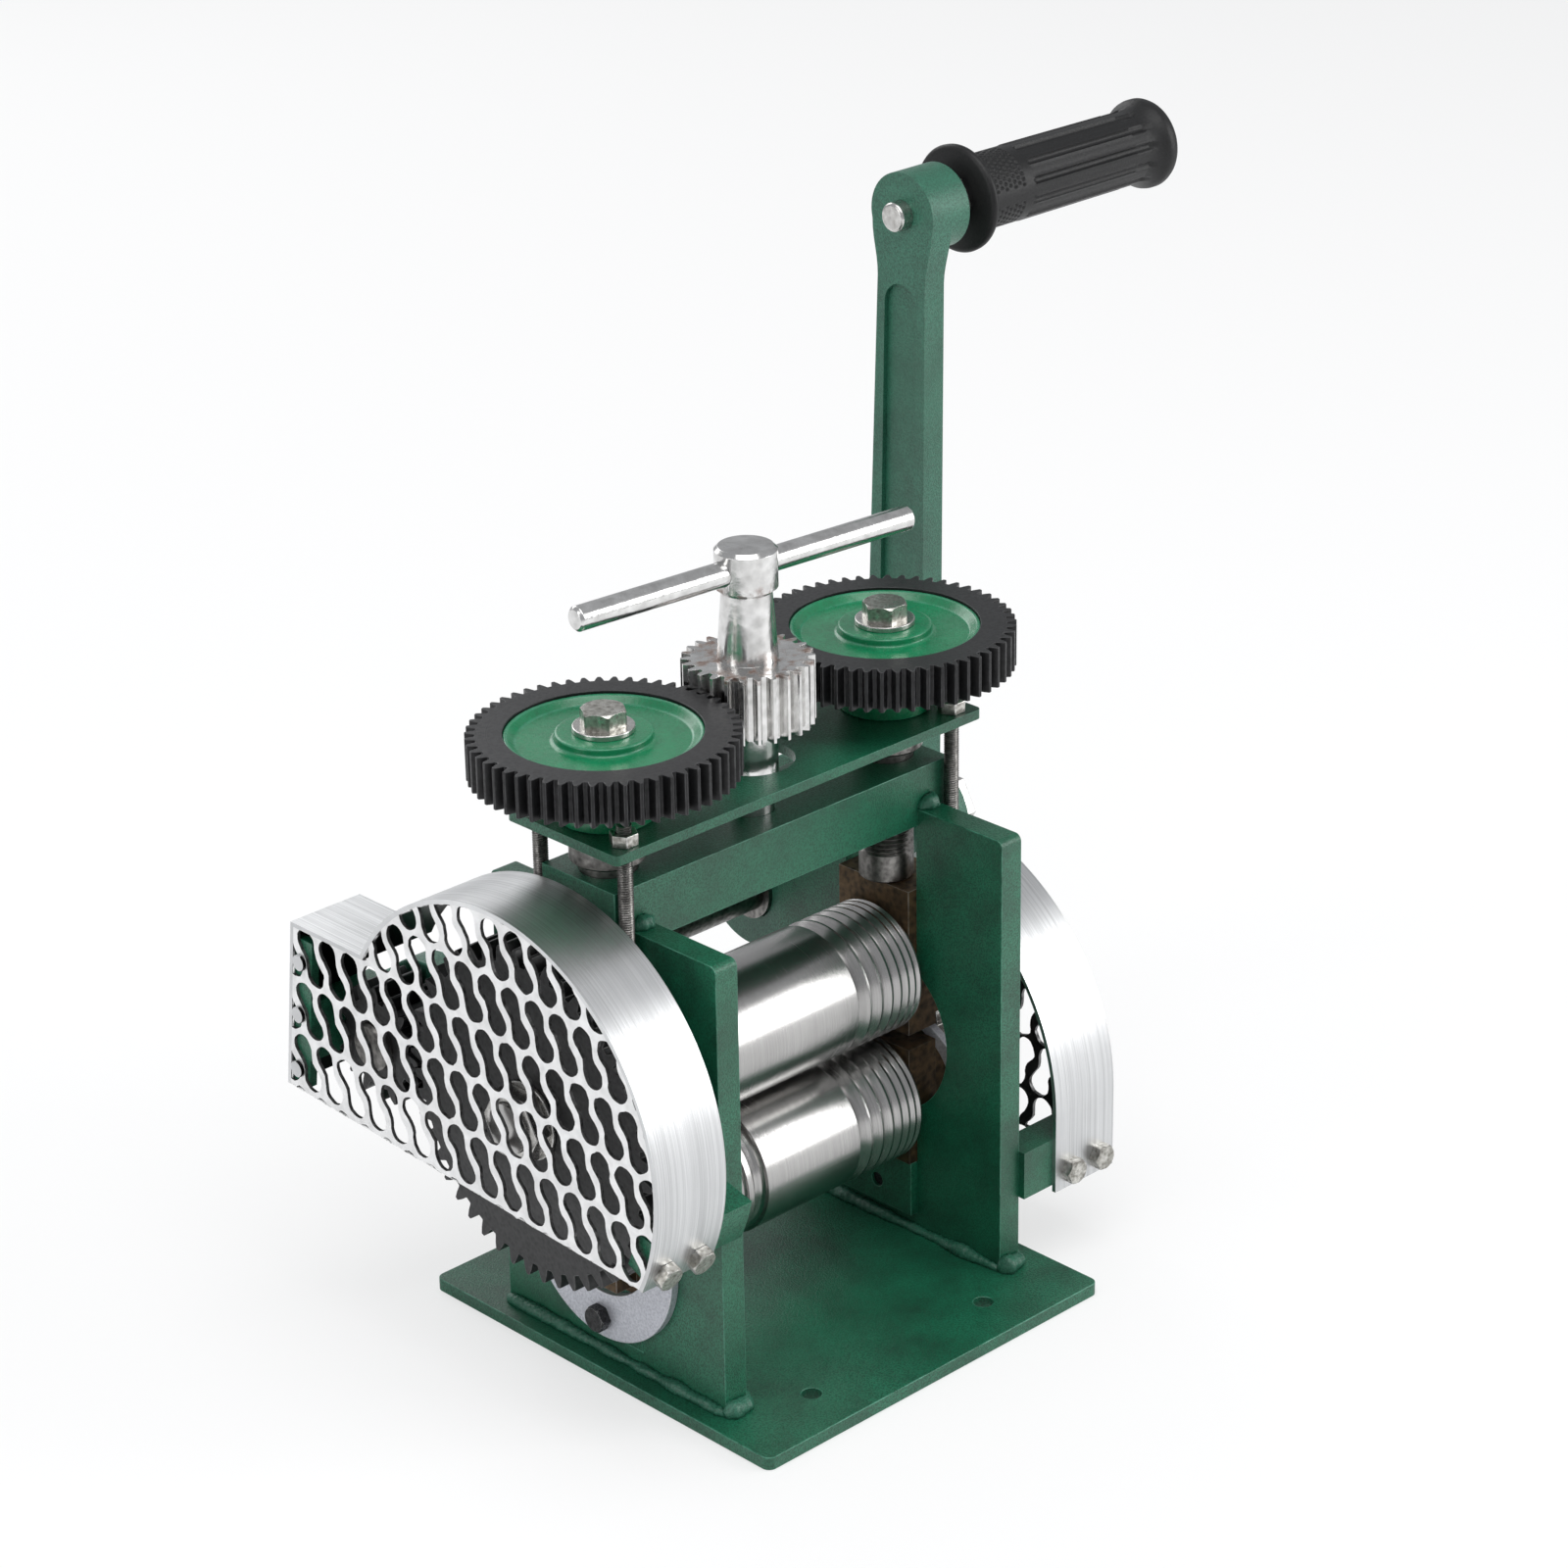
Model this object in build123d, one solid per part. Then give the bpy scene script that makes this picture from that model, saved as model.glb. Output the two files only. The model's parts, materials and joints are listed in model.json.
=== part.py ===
from build123d import *
import math
import os

os.makedirs("parts", exist_ok=True)

# Hand-cranked bench rolling mill.  Millimetres, +Z up.
# X runs along the rollers towards the crank, Y runs from the feed side to the crank-shaft side.
# The origin is the centre of the base plate's underside.

# ---- base plate ----
base_length = 150.0
base_depth = 158.0
base_thickness = 4.5
base_corner_radius = 3.0
bench_hole_spacing_x = 78.0
bench_hole_spacing_y = 122.0
bench_hole_radius = 3.25
roller_setback = 2.75         # roller plane behind the middle of the base plate

# ---- side plates ----
plate_gap = 115.0             # between the inner faces
plate_thickness = 9.0
plate_front = 53.75           # roller plane to front edge
plate_back = 48.25            # roller plane to back edge
plate_top = 159.0
plate_corner_radius = 2.5
slot_width = 32.0             # vertical guide for the bearing blocks
roller_window_radius = 29.5   # round opening the rollers are passed in through

# ---- rollers ----
lower_axis_height = 51.9
roller_radius = 22.5
roll_gap = 2.9                # opening at rest; it closes by 2.7 and opens by 1.2
journal_radius = 12.5
gear_seat_radius = 11.0
journal_thread_radius = 8.0
roller_washer_radius = 13.0
roller_washer_thickness = 1.5
roller_nut_flats = 22.0
roller_nut_height = 6.0
barrel_end_play = 0.5
wire_groove_widths = [5.2, 4.4, 3.8, 3.2, 2.7, 2.2, 1.8]
wire_groove_land = 0.8
half_round_widths = [6.4, 4.8]
half_round_land = 2.0
half_round_start = -16.6      # inner edge of the first half-round groove

# ---- bearing blocks ----
block_proud = 3.5             # how far a block stands out of the plate's inner face
block_outer_reach = 8.5       # how far it stands out of the plate's outer face
block_side_clearance = 0.12
block_lower_half = 21.2       # axis to the facing end of the other block
upper_block_top = 30.7        # upper axis to the top of the upper block
boss_half_width = 14.0
boss_half_height = 17.0
ear_half_length = 25.0
ear_height = 12.0
support_height = 19.7
support_proud = 2.8
journal_clearance = 0.06

# ---- retaining plates on the outer faces ----
retainer_radius = 33.7
retainer_drop = 6.5           # its centre below the lower axis
retainer_hole_radius = 23.8
retainer_thickness = 3.0
retainer_bolt_drop = 33.0     # below the lower axis

# ---- cross beam ----
beam_length = 145.0
beam_depth = 33.0
beam_thickness = 20.0
beam_seat = 6.0               # depth of the notch in the plate tops
pivot_bore_depth = 15.0

# ---- pressure screws ----
screw_radius = 9.0
screw_pitch = 1.5
thread_depth = 0.75
thread_turns = 22
screw_plain_length = 9.5
screw_clearance = 0.1
collar_radius = 12.0
collar_rise = 3.2             # clear height over the beam at rest
collar_height = 10.4
screw_neck_radius = 7.0

# ---- adjusting gear train ----
adjust_module = 1.5
adjust_teeth = 54
adjust_pinion_teeth = 26
adjust_face = 13.6
adjust_backlash = 0.24
gear_hub_length = 14.2
gear_hub_radius = 15.0
dish_radius = 30.4
dish_depth = 3.0
pinion_below_gear = 1.5
pinion_above_gear = 6.1

# ---- T handle ----
spindle_radius = 9.0
pivot_radius = 7.5
pivot_length = 22.0
neck_bottom_radius = 9.6
neck_top_radius = 8.0
neck_height = 23.4
head_radius = 9.9
head_height = 13.2
t_bar_radius = 4.0
t_bar_length = 131.0
t_bar_angle = -4.8            # at rest, about the handle's axis
t_bar_drop = 7.2              # below the top of the head

# ---- lift plate and its studs ----
lift_plate_length = 157.2
lift_plate_depth = 50.0
lift_plate_thickness = 3.3
lift_plate_corner = 2.0
spindle_hole_radius = 14.2
stud_x = 70.4
stud_y = 19.3
stud_radius = 2.5
stud_end = 6.4                # stands out of the lift plate
plate_running_gap = 0.2

# ---- roller drive ----
drive_module = 2.25
drive_teeth = 48
drive_pinion_teeth = 16
drive_face = 18.0
drive_backlash = 0.5
drive_gear_offset = 3.0       # block end to gear
drive_pinion_extra = 1.0
sync_module = 3.0
sync_teeth = 15
sync_face = 16.0
sync_tip_radius = 24.8
sync_root_radius = 19.8
sync_backlash = 0.5
sync_gear_offset = 1.5

# ---- crank shaft and its lugs ----
crank_shaft_radius = 8.0
bush_radius = 11.0
bush_stand_out = 1.5
bush_clearance = 0.06
lug_thickness = 10.0
lug_radius = 21.6
lug_foot = 18.5               # overlap on the side plate
lug_tail = 24.0
lug_tail_height = 20.0
shaft_left_end = 100.0
shaft_collar_radius = 14.0
shaft_collar_width = 10.0

# ---- crank arm ----
arm_face = 135.7              # left face of the arm
crank_rest_angle = 1.6        # the arm leans this far forward of upright
arm_thickness = 9.2
arm_reach = 222.4             # crank shaft to grip spindle
arm_hub_radius = 18.0
arm_hub_width = 20.0
arm_head_radius = 14.2
arm_head_width = 17.4
arm_root_width = 27.8
arm_neck_width = 21.7
arm_neck_drop = 23.0          # neck below the grip spindle
arm_recess_width = 14.9
arm_recess_depth = 1.8
arm_recess_margin = 24.0

# ---- grip ----
grip_spindle_radius = 5.0
grip_spindle_stub = 5.0       # stands out of the arm's left face
grip_start = 160.4
grip_length = 95.7
grip_radius = 13.0
grip_inner_flange_radius = 18.3
grip_end_flange_radius = 15.6
grip_flange_width = 3.2
grip_tube_radius = 7.0
grip_tube_wall = 1.9
grip_clearance = 0.1
grip_flutes = 12
grip_flute_radius = 1.3

# ---- gear guards ----
guard_face = 108.0            # outer face of each perforated sheet
band_width = 28.0
band_thickness = 1.5
sheet_thickness = 1.2
left_guard_radius = 72.0
left_guard_centre_y = 1.0
left_guard_centre_z = 102.1
left_guard_end_angle = 26.9   # below level at the front
left_box_top = 138.2
left_box_back = 98.0
left_box_foot_back = 105.0
left_box_foot_height = 78.5
right_guard_front = 57.6
right_guard_back = 50.0
right_guard_foot = 26.0
right_side_radius = 78.0      # the long arcs above the straight walls
right_crown_radius = 26.8     # the short arc over the upper roller's gear
right_crown_rise = 1.2        # its centre above the upper axis at rest
hole_pitch_row = 10.7
hole_pitch_column = 19.5
hole_row_rise = 0.8
hole_column_shift = 2.5
hole_radius = 4.0
hole_lobe_y = 2.0
hole_lobe_z = 5.3
hole_margin = 2.2

# ---- guard brackets and small fasteners ----
bracket_angle = 19.5          # below level
guard_bolt_angle = 22.6
bracket_depth = 8.5
bracket_foot_depth = 25.0
bracket_width = 15.0
right_bracket_foot = 28.3
right_bracket_height = 17.0
right_bracket_depth = 12.0
right_bolt_rise = 4.0         # bolt axis above the bracket's underside
guard_bolt_spacing = 13.5
bolt_radius = 2.5
bolt_flats = 8.0
bolt_head_height = 3.6
rivet_radius = 1.6
rivet_head_radius = 2.8
weld_leg = 4.5
fit = 0.05                    # radial clearance of parts that are fixed to each other

# ---- sizes that follow from those above ----
plate_inner = plate_gap / 2
plate_outer = plate_inner + plate_thickness
upper_axis_height = lower_axis_height + 2 * roller_radius + roll_gap
window_height = (lower_axis_height + upper_axis_height) / 2
block_inner = plate_inner - block_proud
block_outer = plate_outer + block_outer_reach
block_half_width = slot_width / 2 - block_side_clearance
barrel_half = block_inner - barrel_end_play
slot_floor = lower_axis_height - block_lower_half - support_height
beam_bottom = plate_top - beam_seat
beam_top = beam_bottom + beam_thickness
screw_x = adjust_module * (adjust_teeth + adjust_pinion_teeth) / 2
screw_foot = upper_axis_height + upper_block_top + 0.05
collar_bottom = beam_top + collar_rise
collar_top = collar_bottom + collar_height
lift_plate_bottom = collar_top + plate_running_gap
lift_plate_top = lift_plate_bottom + lift_plate_thickness
hub_bottom = lift_plate_top + plate_running_gap
gear_bottom = hub_bottom + gear_hub_length
gear_top = gear_bottom + adjust_face
pinion_bottom = gear_bottom - pinion_below_gear
pinion_top = gear_top + pinion_above_gear
head_bottom = pinion_top + neck_height
head_top = head_bottom + head_height
drive_inner = block_outer + drive_gear_offset
drive_outer = drive_inner + drive_face
sync_inner = block_outer + sync_gear_offset
sync_outer = sync_inner + sync_face
crank_y = drive_module * (drive_teeth + drive_pinion_teeth) / 2
crank_z = upper_axis_height
grip_z = crank_z + arm_reach
sheet_inner = guard_face - sheet_thickness
band_inner = guard_face - band_width


# ---- helpers ----
def block(x0, x1, y0, y1, z0, z1):
    """A box between two corners."""
    return Pos((x0 + x1) / 2, (y0 + y1) / 2, (z0 + z1) / 2) * Box(x1 - x0, y1 - y0, z1 - z0)


def rod_x(x0, x1, radius, y=0.0, z=0.0):
    return Pos((x0 + x1) / 2, y, z) * Rot(0, 90, 0) * Cylinder(radius, abs(x1 - x0))


def rod_z(z0, z1, radius, x=0.0, y=0.0):
    return Pos(x, y, (z0 + z1) / 2) * Cylinder(radius, z1 - z0)


def slab_x(points, x0, x1):
    """A closed outline of (y, z) points drawn out between two X positions."""
    face = make_face(Polyline(*[(y, z) for y, z in points], close=True))
    return Plane.YZ.offset(x0) * extrude(face, x1 - x0)


def mirror_side(shape, side):
    """side is +1 for the crank side and -1 for the drive-gear side."""
    return shape if side > 0 else mirror(shape, about=Plane.YZ)


def tooth_outline(teeth, module, tip, root, backlash, phase):
    """Involute tooth form with two flats on each flank, as (x, y) points."""
    pitch_radius = teeth * module / 2
    base_radius = pitch_radius * math.cos(math.radians(20))
    half_pitch_angle = math.pi / (2 * teeth) - backlash / (2 * pitch_radius)
    low = max(base_radius, root + 0.2 * module)
    stations = [root, low, (low + tip) / 2, tip]

    def spread(radius):
        pressure = math.acos(min(1.0, base_radius / max(radius, base_radius)))
        involute = math.tan(pressure) - pressure
        involute_pitch = math.tan(math.radians(20)) - math.radians(20)
        return half_pitch_angle + involute_pitch - involute

    flank = [(radius, spread(radius)) for radius in stations[1:]]
    root_spread = min(spread(low) + 0.12 * module / root, math.pi / teeth * 0.92)
    flank.insert(0, (root, root_spread))
    points = []
    for number in range(teeth):
        centre = phase + 2 * math.pi * number / teeth
        side_up = [(radius, centre - angle) for radius, angle in flank]
        side_down = [(radius, centre + angle) for radius, angle in reversed(flank)]
        for radius, angle in side_up + side_down:
            points.append((radius * math.cos(angle), radius * math.sin(angle)))
    return points


def toothed_disc(points, bore, width):
    """Gear blank with a bore, standing on Z = 0."""
    body = extrude(make_face(Polyline(*points, close=True)), width)
    return body - Pos(0, 0, width / 2) * Cylinder(bore, 3 * width)


def gear_x(points, bore, x0, x1, y, z):
    """Toothed disc on an X axis, drawn from x0 to x1."""
    local = toothed_disc(points, bore, x1 - x0)
    return Pos(x0, y, z) * (Plane.YZ * local)


def hex_prism(flats, height):
    return extrude(RegularPolygon(flats / 2, 6, major_radius=False), height)


def hex_bolt(reach):
    """Head above the local XY plane, shank below it."""
    head = hex_prism(bolt_flats, bolt_head_height)
    dome = Pos(0, 0, bolt_head_height / 2) * Cylinder(bolt_flats * 0.56, bolt_head_height)
    shank = Pos(0, 0, -reach / 2) * Cylinder(bolt_radius - fit, reach)
    return (head & chamfer(dome.edges().group_by(Axis.Z)[-1], 0.5)) + shank


def facing(origin, direction):
    """Location whose local Z points along a direction in the YZ plane or along X."""
    return Plane(origin=origin, x_dir=(1, 0, 0) if abs(direction[0]) < 0.5 else (0, 1, 0),
                 z_dir=direction).location


def turned(profile, axis_height=None):
    """Revolve (radius, z) points about Z, or about X through axis_height when that is given."""
    face = make_face(Polyline(*[(radius, 0, z) for radius, z in profile], close=True))
    body = revolve(face, Axis.Z)
    if axis_height is None:
        return body
    return Pos(0, 0, axis_height) * Rot(0, 90, 0) * body


nodes = {}


def add(name, *shapes):
    nodes.setdefault(name, []).extend(shapes)


# ---- base plate ----
base = extrude(RectangleRounded(base_length, base_depth, base_corner_radius), base_thickness)
for hole_x in (-bench_hole_spacing_x / 2, bench_hole_spacing_x / 2):
    for hole_y in (-bench_hole_spacing_y / 2, bench_hole_spacing_y / 2):
        base -= Pos(hole_x, hole_y, base_thickness / 2) * Cylinder(bench_hole_radius,
                                                                   3 * base_thickness)
add("base_plate", Pos(0, -roller_setback, 0) * base)

# ---- guard outlines, as (y, z) points on the outer skin of each band ----
box_top = left_box_top
end_angle = math.radians(left_guard_end_angle)


def left_profile(inset):
    """Left guard path moved inwards by inset: box back, box top, then the arc over the gear."""
    slope = (left_box_foot_back - left_box_back) / (box_top - left_box_foot_height)
    shift = inset * math.hypot(1, slope)
    foot = (left_box_foot_back - shift, left_box_foot_height)
    top = box_top - inset
    corner = (left_box_back - shift + slope * inset, top)
    radius = left_guard_radius - inset
    rise = top - left_guard_centre_z
    notch = (left_guard_centre_y + math.sqrt(radius ** 2 - rise ** 2), top)

    def on_arc(angle):
        return (left_guard_centre_y + radius * math.cos(angle),
                left_guard_centre_z + radius * math.sin(angle))
    return foot, corner, notch, on_arc((math.asin(rise / radius) + math.pi + end_angle) / 2), \
        on_arc(math.pi + end_angle)


def left_path(inset):
    foot, corner, notch, middle, finish = left_profile(inset)
    return [Line(foot, corner), Line(corner, notch), ThreePointArc(notch, middle, finish)]


crown_centre = (0.0, upper_axis_height + right_crown_rise)


def side_arc(wall, way, inset):
    """Arc from the top of a straight wall to the crown, tangent to both.

    way is -1 for the front wall and +1 for the back one; points run from the wall to the crown.
    """
    centre_y = way * (wall - right_side_radius)
    gap = right_side_radius - right_crown_radius
    centre_z = crown_centre[1] - math.sqrt(gap ** 2 - centre_y ** 2)
    radius = right_side_radius - inset
    crown_angle = math.atan2(crown_centre[1] - centre_z, -way * centre_y)
    points = []
    for angle in (0.0, crown_angle / 2, crown_angle):
        points.append((centre_y + way * radius * math.cos(angle), centre_z + radius * math.sin(angle)))
    return points


def right_path(inset):
    """Right guard path: straight front, long arc, crown, long arc, straight back."""
    front = side_arc(right_guard_front, -1, inset)
    back = side_arc(right_guard_back, 1, inset)
    crown = (crown_centre[0], crown_centre[1] + right_crown_radius - inset)
    return [Line((front[0][0], right_guard_foot), front[0]), ThreePointArc(*front),
            ThreePointArc(front[2], crown, back[2]), ThreePointArc(*reversed(back)),
            Line(back[0], (back[0][0], right_guard_foot))]


def band(path_of, x0, x1):
    """Strip between the outer path and the same path moved in by its thickness."""
    outer = path_of(0.0)
    inner = path_of(band_thickness)
    ends = [Line(outer[0] @ 0, inner[0] @ 0), Line(outer[-1] @ 1, inner[-1] @ 1)]
    face = make_face(Curve() + outer + inner + ends)
    return Plane.YZ.offset(x0) * extrude(face, x1 - x0)


def sheet(path_of, x0, x1):
    """Perforated end sheet that fills the band."""
    path = path_of(band_thickness)
    closing = Line(path[-1] @ 1, path[0] @ 0)
    outline = make_face(Curve() + path + [closing]).face()
    boundary = outline.outer_wire()
    box = outline.bounding_box()
    row_length = math.hypot(hole_pitch_row, hole_row_rise)
    rows = int(box.size.Y / hole_pitch_column) + 4
    columns = int(box.size.X / row_length) + 6
    holes = []
    for row in range(-rows, rows):
        for column in range(-columns, columns):
            y = box.center().X + column * hole_pitch_row - row * hole_column_shift
            z = box.center().Y + column * hole_row_rise + row * hole_pitch_column
            lobes = [(y + hole_lobe_y, z + hole_lobe_z), (y - hole_lobe_y, z - hole_lobe_z)]
            if all(outline.is_inside(Vector(a, b, 0)) for a, b in lobes) and \
                    all(boundary.distance_to(Vector(a, b, 0)) > hole_radius + hole_margin
                        for a, b in lobes):
                angle = math.degrees(math.atan2(hole_lobe_z, hole_lobe_y))
                length = 2 * math.hypot(hole_lobe_y, hole_lobe_z)
                slot = Pos(y, z) * Rot(0, 0, angle) * SlotCenterToCenter(length, 2 * hole_radius)
                holes.append(slot.wire())
    face = Face(boundary, holes)
    return Plane.YZ.offset(x0) * extrude(face, x1 - x0)


# ---- frame pieces that come in left and right copies ----
for side, word in ((-1, "left"), (1, "right")):
    # side plate: open slot for the blocks, round roller window, notch for the beam
    outline = Pos((plate_back - plate_front) / 2, (plate_top + base_thickness) / 2) * Rectangle(
        plate_front + plate_back, plate_top - base_thickness)
    outline = fillet(outline.vertices().group_by(Axis.Y)[-1], plate_corner_radius)
    plate = Plane.YZ.offset(plate_inner) * extrude(outline, plate_thickness)
    reach = plate_outer + 5
    plate -= block(plate_inner - 5, reach, -slot_width / 2, slot_width / 2, slot_floor, plate_top + 5)
    plate -= block(plate_inner - 5, reach, -beam_depth / 2, beam_depth / 2, beam_bottom, plate_top + 5)
    plate -= rod_x(plate_inner - 5, reach, roller_window_radius, 0, window_height)
    add("side_plate_" + word, mirror_side(plate, side))

    # lower bearing block with its boss through the retaining plate
    lower = block(block_inner, plate_outer, -block_half_width, block_half_width,
                  lower_axis_height - block_lower_half, lower_axis_height + block_lower_half)
    lower += block(plate_outer, block_outer, -boss_half_width, boss_half_width,
                   lower_axis_height - boss_half_height, lower_axis_height + boss_half_height)
    lower -= rod_x(block_inner - 5, block_outer + 5, journal_radius + journal_clearance,
                   0, lower_axis_height)
    add("bearing_block_lower_" + word, mirror_side(lower, side))

    # block support at the foot of the slot, bolted through the retaining plate
    bolt_z = lower_axis_height - retainer_bolt_drop
    support = block(plate_inner - support_proud, plate_outer, -block_half_width, block_half_width,
                    slot_floor, slot_floor + support_height)
    support -= rod_x(plate_inner - 20, plate_outer + 5, bolt_radius, 0, bolt_z)
    add("block_support_" + word, mirror_side(support, side))

    retainer = rod_x(plate_outer, plate_outer + retainer_thickness, retainer_radius,
                     0, lower_axis_height - retainer_drop)
    retainer -= rod_x(plate_outer - 5, plate_outer + retainer_thickness + 5, retainer_hole_radius,
                      0, lower_axis_height)
    retainer -= rod_x(plate_outer - 5, plate_outer + retainer_thickness + 5, bolt_radius, 0, bolt_z)
    add("retainer_" + word, mirror_side(retainer, side))
    bolt_reach = retainer_thickness + plate_thickness + support_proud * 0.6
    seat = (plate_outer + retainer_thickness, 0, bolt_z)
    add("small_hex_bolts", mirror_side(facing(seat, (1, 0, 0)) * hex_bolt(bolt_reach), side))

    # crank-shaft lug: foot on the plate's outer face, boss, and a tail for the guard
    lug_front = plate_back - lug_foot
    lug = rod_x(plate_outer, plate_outer + lug_thickness, lug_radius, crank_y, crank_z)
    lug += block(plate_outer, plate_outer + lug_thickness, lug_front, crank_y,
                 crank_z - lug_radius, crank_z + lug_radius)
    lug += block(plate_outer, plate_outer + lug_thickness, crank_y, crank_y + lug_tail,
                 crank_z - lug_tail_height / 2, crank_z + lug_tail_height / 2)
    lug -= rod_x(plate_outer - 5, plate_outer + lug_thickness + 5, bush_radius + bush_clearance,
                 crank_y, crank_z)
    add("crank_lug_" + word, mirror_side(lug, side))

    bush = rod_x(plate_outer - bush_stand_out, plate_outer + lug_thickness + 0.3, bush_radius,
                 crank_y, crank_z)
    bush -= rod_x(plate_outer - 10, plate_outer + lug_thickness + 10,
                  crank_shaft_radius + bush_clearance, crank_y, crank_z)
    add("crank_bush_" + word, mirror_side(bush, side))

    # fillet welds: plate feet, beam seat and lug foot
    for y0, y1 in ((-plate_front, -slot_width / 2 - 1), (slot_width / 2 + 1, plate_back)):
        foot_in = [(plate_inner, base_thickness), (plate_inner - weld_leg - 1, base_thickness),
                   (plate_inner, base_thickness + weld_leg)]
        foot_out = [(plate_outer, base_thickness), (plate_outer + weld_leg, base_thickness),
                    (plate_outer, base_thickness + weld_leg)]
        for wedge in (foot_in, foot_out):
            face = make_face(Polyline(*wedge, close=True))
            bead = Plane.XZ.offset(-y1) * extrude(face, y1 - y0)
            add("weld_beads", mirror_side(bead, side))
    for way in (-1, 1):
        wedge = [(way * beam_depth / 2, plate_top), (way * (beam_depth / 2 + weld_leg), plate_top),
                 (way * beam_depth / 2, plate_top + weld_leg)]
        add("weld_beads", mirror_side(slab_x(wedge, plate_inner, plate_outer), side))
    lug_bead = [(plate_outer, lug_front), (plate_outer + 3, lug_front), (plate_outer, lug_front - 3)]
    face = make_face(Polyline(*lug_bead, close=True))
    bead = Pos(0, 0, crank_z - lug_radius) * extrude(face, 2 * lug_radius)
    add("weld_beads", mirror_side(bead, side))

    # upper bearing block: slides in the slot, ears outside the plate carry the studs
    upper_top = upper_axis_height + upper_block_top
    upper = block(block_inner, block_outer, -block_half_width, block_half_width,
                  upper_axis_height - boss_half_height, upper_top)
    upper += block(block_inner, plate_outer, -block_half_width, block_half_width,
                   upper_axis_height - block_lower_half, upper_top)
    upper += block(plate_outer + 0.4, block_outer, -ear_half_length, ear_half_length,
                   upper_top - ear_height, upper_top)
    upper -= rod_x(block_inner - 5, block_outer + 5, journal_radius + journal_clearance,
                   0, upper_axis_height)
    for way in (-1, 1):
        upper -= rod_z(upper_top - ear_height - 5, upper_top + 5, stud_radius + fit,
                       stud_x, way * stud_y)
    add("bearing_block_upper_" + word, mirror_side(upper, side))

    for way in (-1, 1):
        stud = rod_z(upper_top - ear_height, lift_plate_top + stud_end, stud_radius,
                     stud_x, way * stud_y)
        add("lift_studs", mirror_side(stud, side))
        nut = Pos(stud_x, way * stud_y, lift_plate_top) * hex_prism(bolt_flats, 4.0)
        nut -= rod_z(lift_plate_top - 5, lift_plate_top + 10, stud_radius + fit, stud_x, way * stud_y)
        add("stud_nuts", mirror_side(nut, side))

    # pressure screw: plain foot, thread, collar under the lift plate, neck through gear
    thread_start = screw_foot + screw_plain_length
    profile = [(0, screw_foot), (screw_radius - 0.6, screw_foot), (screw_radius, screw_foot + 0.6)]
    for turn in range(thread_turns):
        z = thread_start + turn * screw_pitch
        profile += [(screw_radius, z), (screw_radius - thread_depth, z + screw_pitch * 0.5),
                    (screw_radius, z + screw_pitch * 0.94)]
    profile += [(screw_radius, collar_bottom), (collar_radius - 0.8, collar_bottom),
                (collar_radius, collar_bottom + 0.8), (collar_radius, collar_top),
                (screw_neck_radius, collar_top), (screw_neck_radius, gear_top - 1.0),
                (0, gear_top - 1.0)]
    screw = turned(profile)
    screw -= rod_z(gear_top - 24, gear_top + 5, bolt_radius * 1.6, 0, 0)
    add("pressure_screw_" + word, Pos(side * screw_x, 0, 0) * screw)

    # adjusting gear: toothed rim pressed on a dished centre, held by a bolt and washer
    rim_points = tooth_outline(adjust_teeth, adjust_module,
                               adjust_module * (adjust_teeth / 2 + 0.92),
                               adjust_module * (adjust_teeth / 2 - 1.2),
                               adjust_backlash, math.pi / adjust_teeth)
    rim = Pos(side * screw_x, 0, gear_bottom) * toothed_disc(rim_points, dish_radius + fit, adjust_face)
    add("adjusting_gear_" + word, rim)
    web_top = gear_top - dish_depth
    centre_profile = [(screw_neck_radius + fit, hub_bottom), (gear_hub_radius, hub_bottom),
                      (gear_hub_radius, gear_bottom), (dish_radius, gear_bottom),
                      (dish_radius, gear_top - 0.8), (dish_radius - 1.0, gear_top - 0.8),
                      (dish_radius - 3.5, web_top), (gear_hub_radius + 1.5, web_top),
                      (gear_hub_radius, web_top + 0.6), (gear_hub_radius, gear_top - 0.2),
                      (gear_hub_radius - 1.0, gear_top), (screw_neck_radius + fit, gear_top)]
    add("gear_centre_" + word, Pos(side * screw_x, 0, 0) * turned(centre_profile))
    washer = rod_z(gear_top, gear_top + 1.8, 9.6) - rod_z(gear_top - 5, gear_top + 5, bolt_radius * 1.6 + fit)
    add("gear_washer_" + word, Pos(side * screw_x, 0, 0) * washer)
    head = Pos(0, 0, gear_top + 1.8) * hex_prism(13.0, 5.4)
    head &= chamfer(rod_z(gear_top + 1.8, gear_top + 7.2, 7.3).edges().group_by(Axis.Z)[-1], 0.7)
    head += rod_z(gear_top - 20, gear_top + 1.8, bolt_radius * 1.6 - fit)
    add("gear_bolt_" + word, Pos(side * screw_x, 0, 0) * head)

# ---- cross beam ----
beam = block(-beam_length / 2, beam_length / 2, -beam_depth / 2, beam_depth / 2, beam_bottom, beam_top)
for side in (-1, 1):
    beam -= rod_z(beam_bottom - 5, beam_top + 5, screw_radius + screw_clearance, side * screw_x, 0)
beam -= rod_z(beam_top - pivot_bore_depth, beam_top + 5, pivot_radius + 0.08)
add("cross_beam", beam)

# ---- T handle: pivot, spindle, pinion, neck and head in one turning, with its bar ----
pivot_bottom = beam_top - pivot_bore_depth + 0.2
turning = [(0, pivot_bottom), (pivot_radius - 0.5, pivot_bottom), (pivot_radius, pivot_bottom + 0.5),
           (pivot_radius, pivot_bottom + pivot_length), (spindle_radius, pivot_bottom + pivot_length),
           (spindle_radius, pinion_top), (neck_bottom_radius, pinion_top),
           (neck_top_radius, head_bottom - 1.5), (head_radius, head_bottom),
           (head_radius, head_top - 1.2), (head_radius - 1.2, head_top), (0, head_top)]
handle = turned(turning)
pinion_points = tooth_outline(adjust_pinion_teeth, adjust_module,
                              adjust_module * (adjust_pinion_teeth / 2 + 0.92),
                              adjust_module * (adjust_pinion_teeth / 2 - 1.2), adjust_backlash, 0.0)
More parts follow.
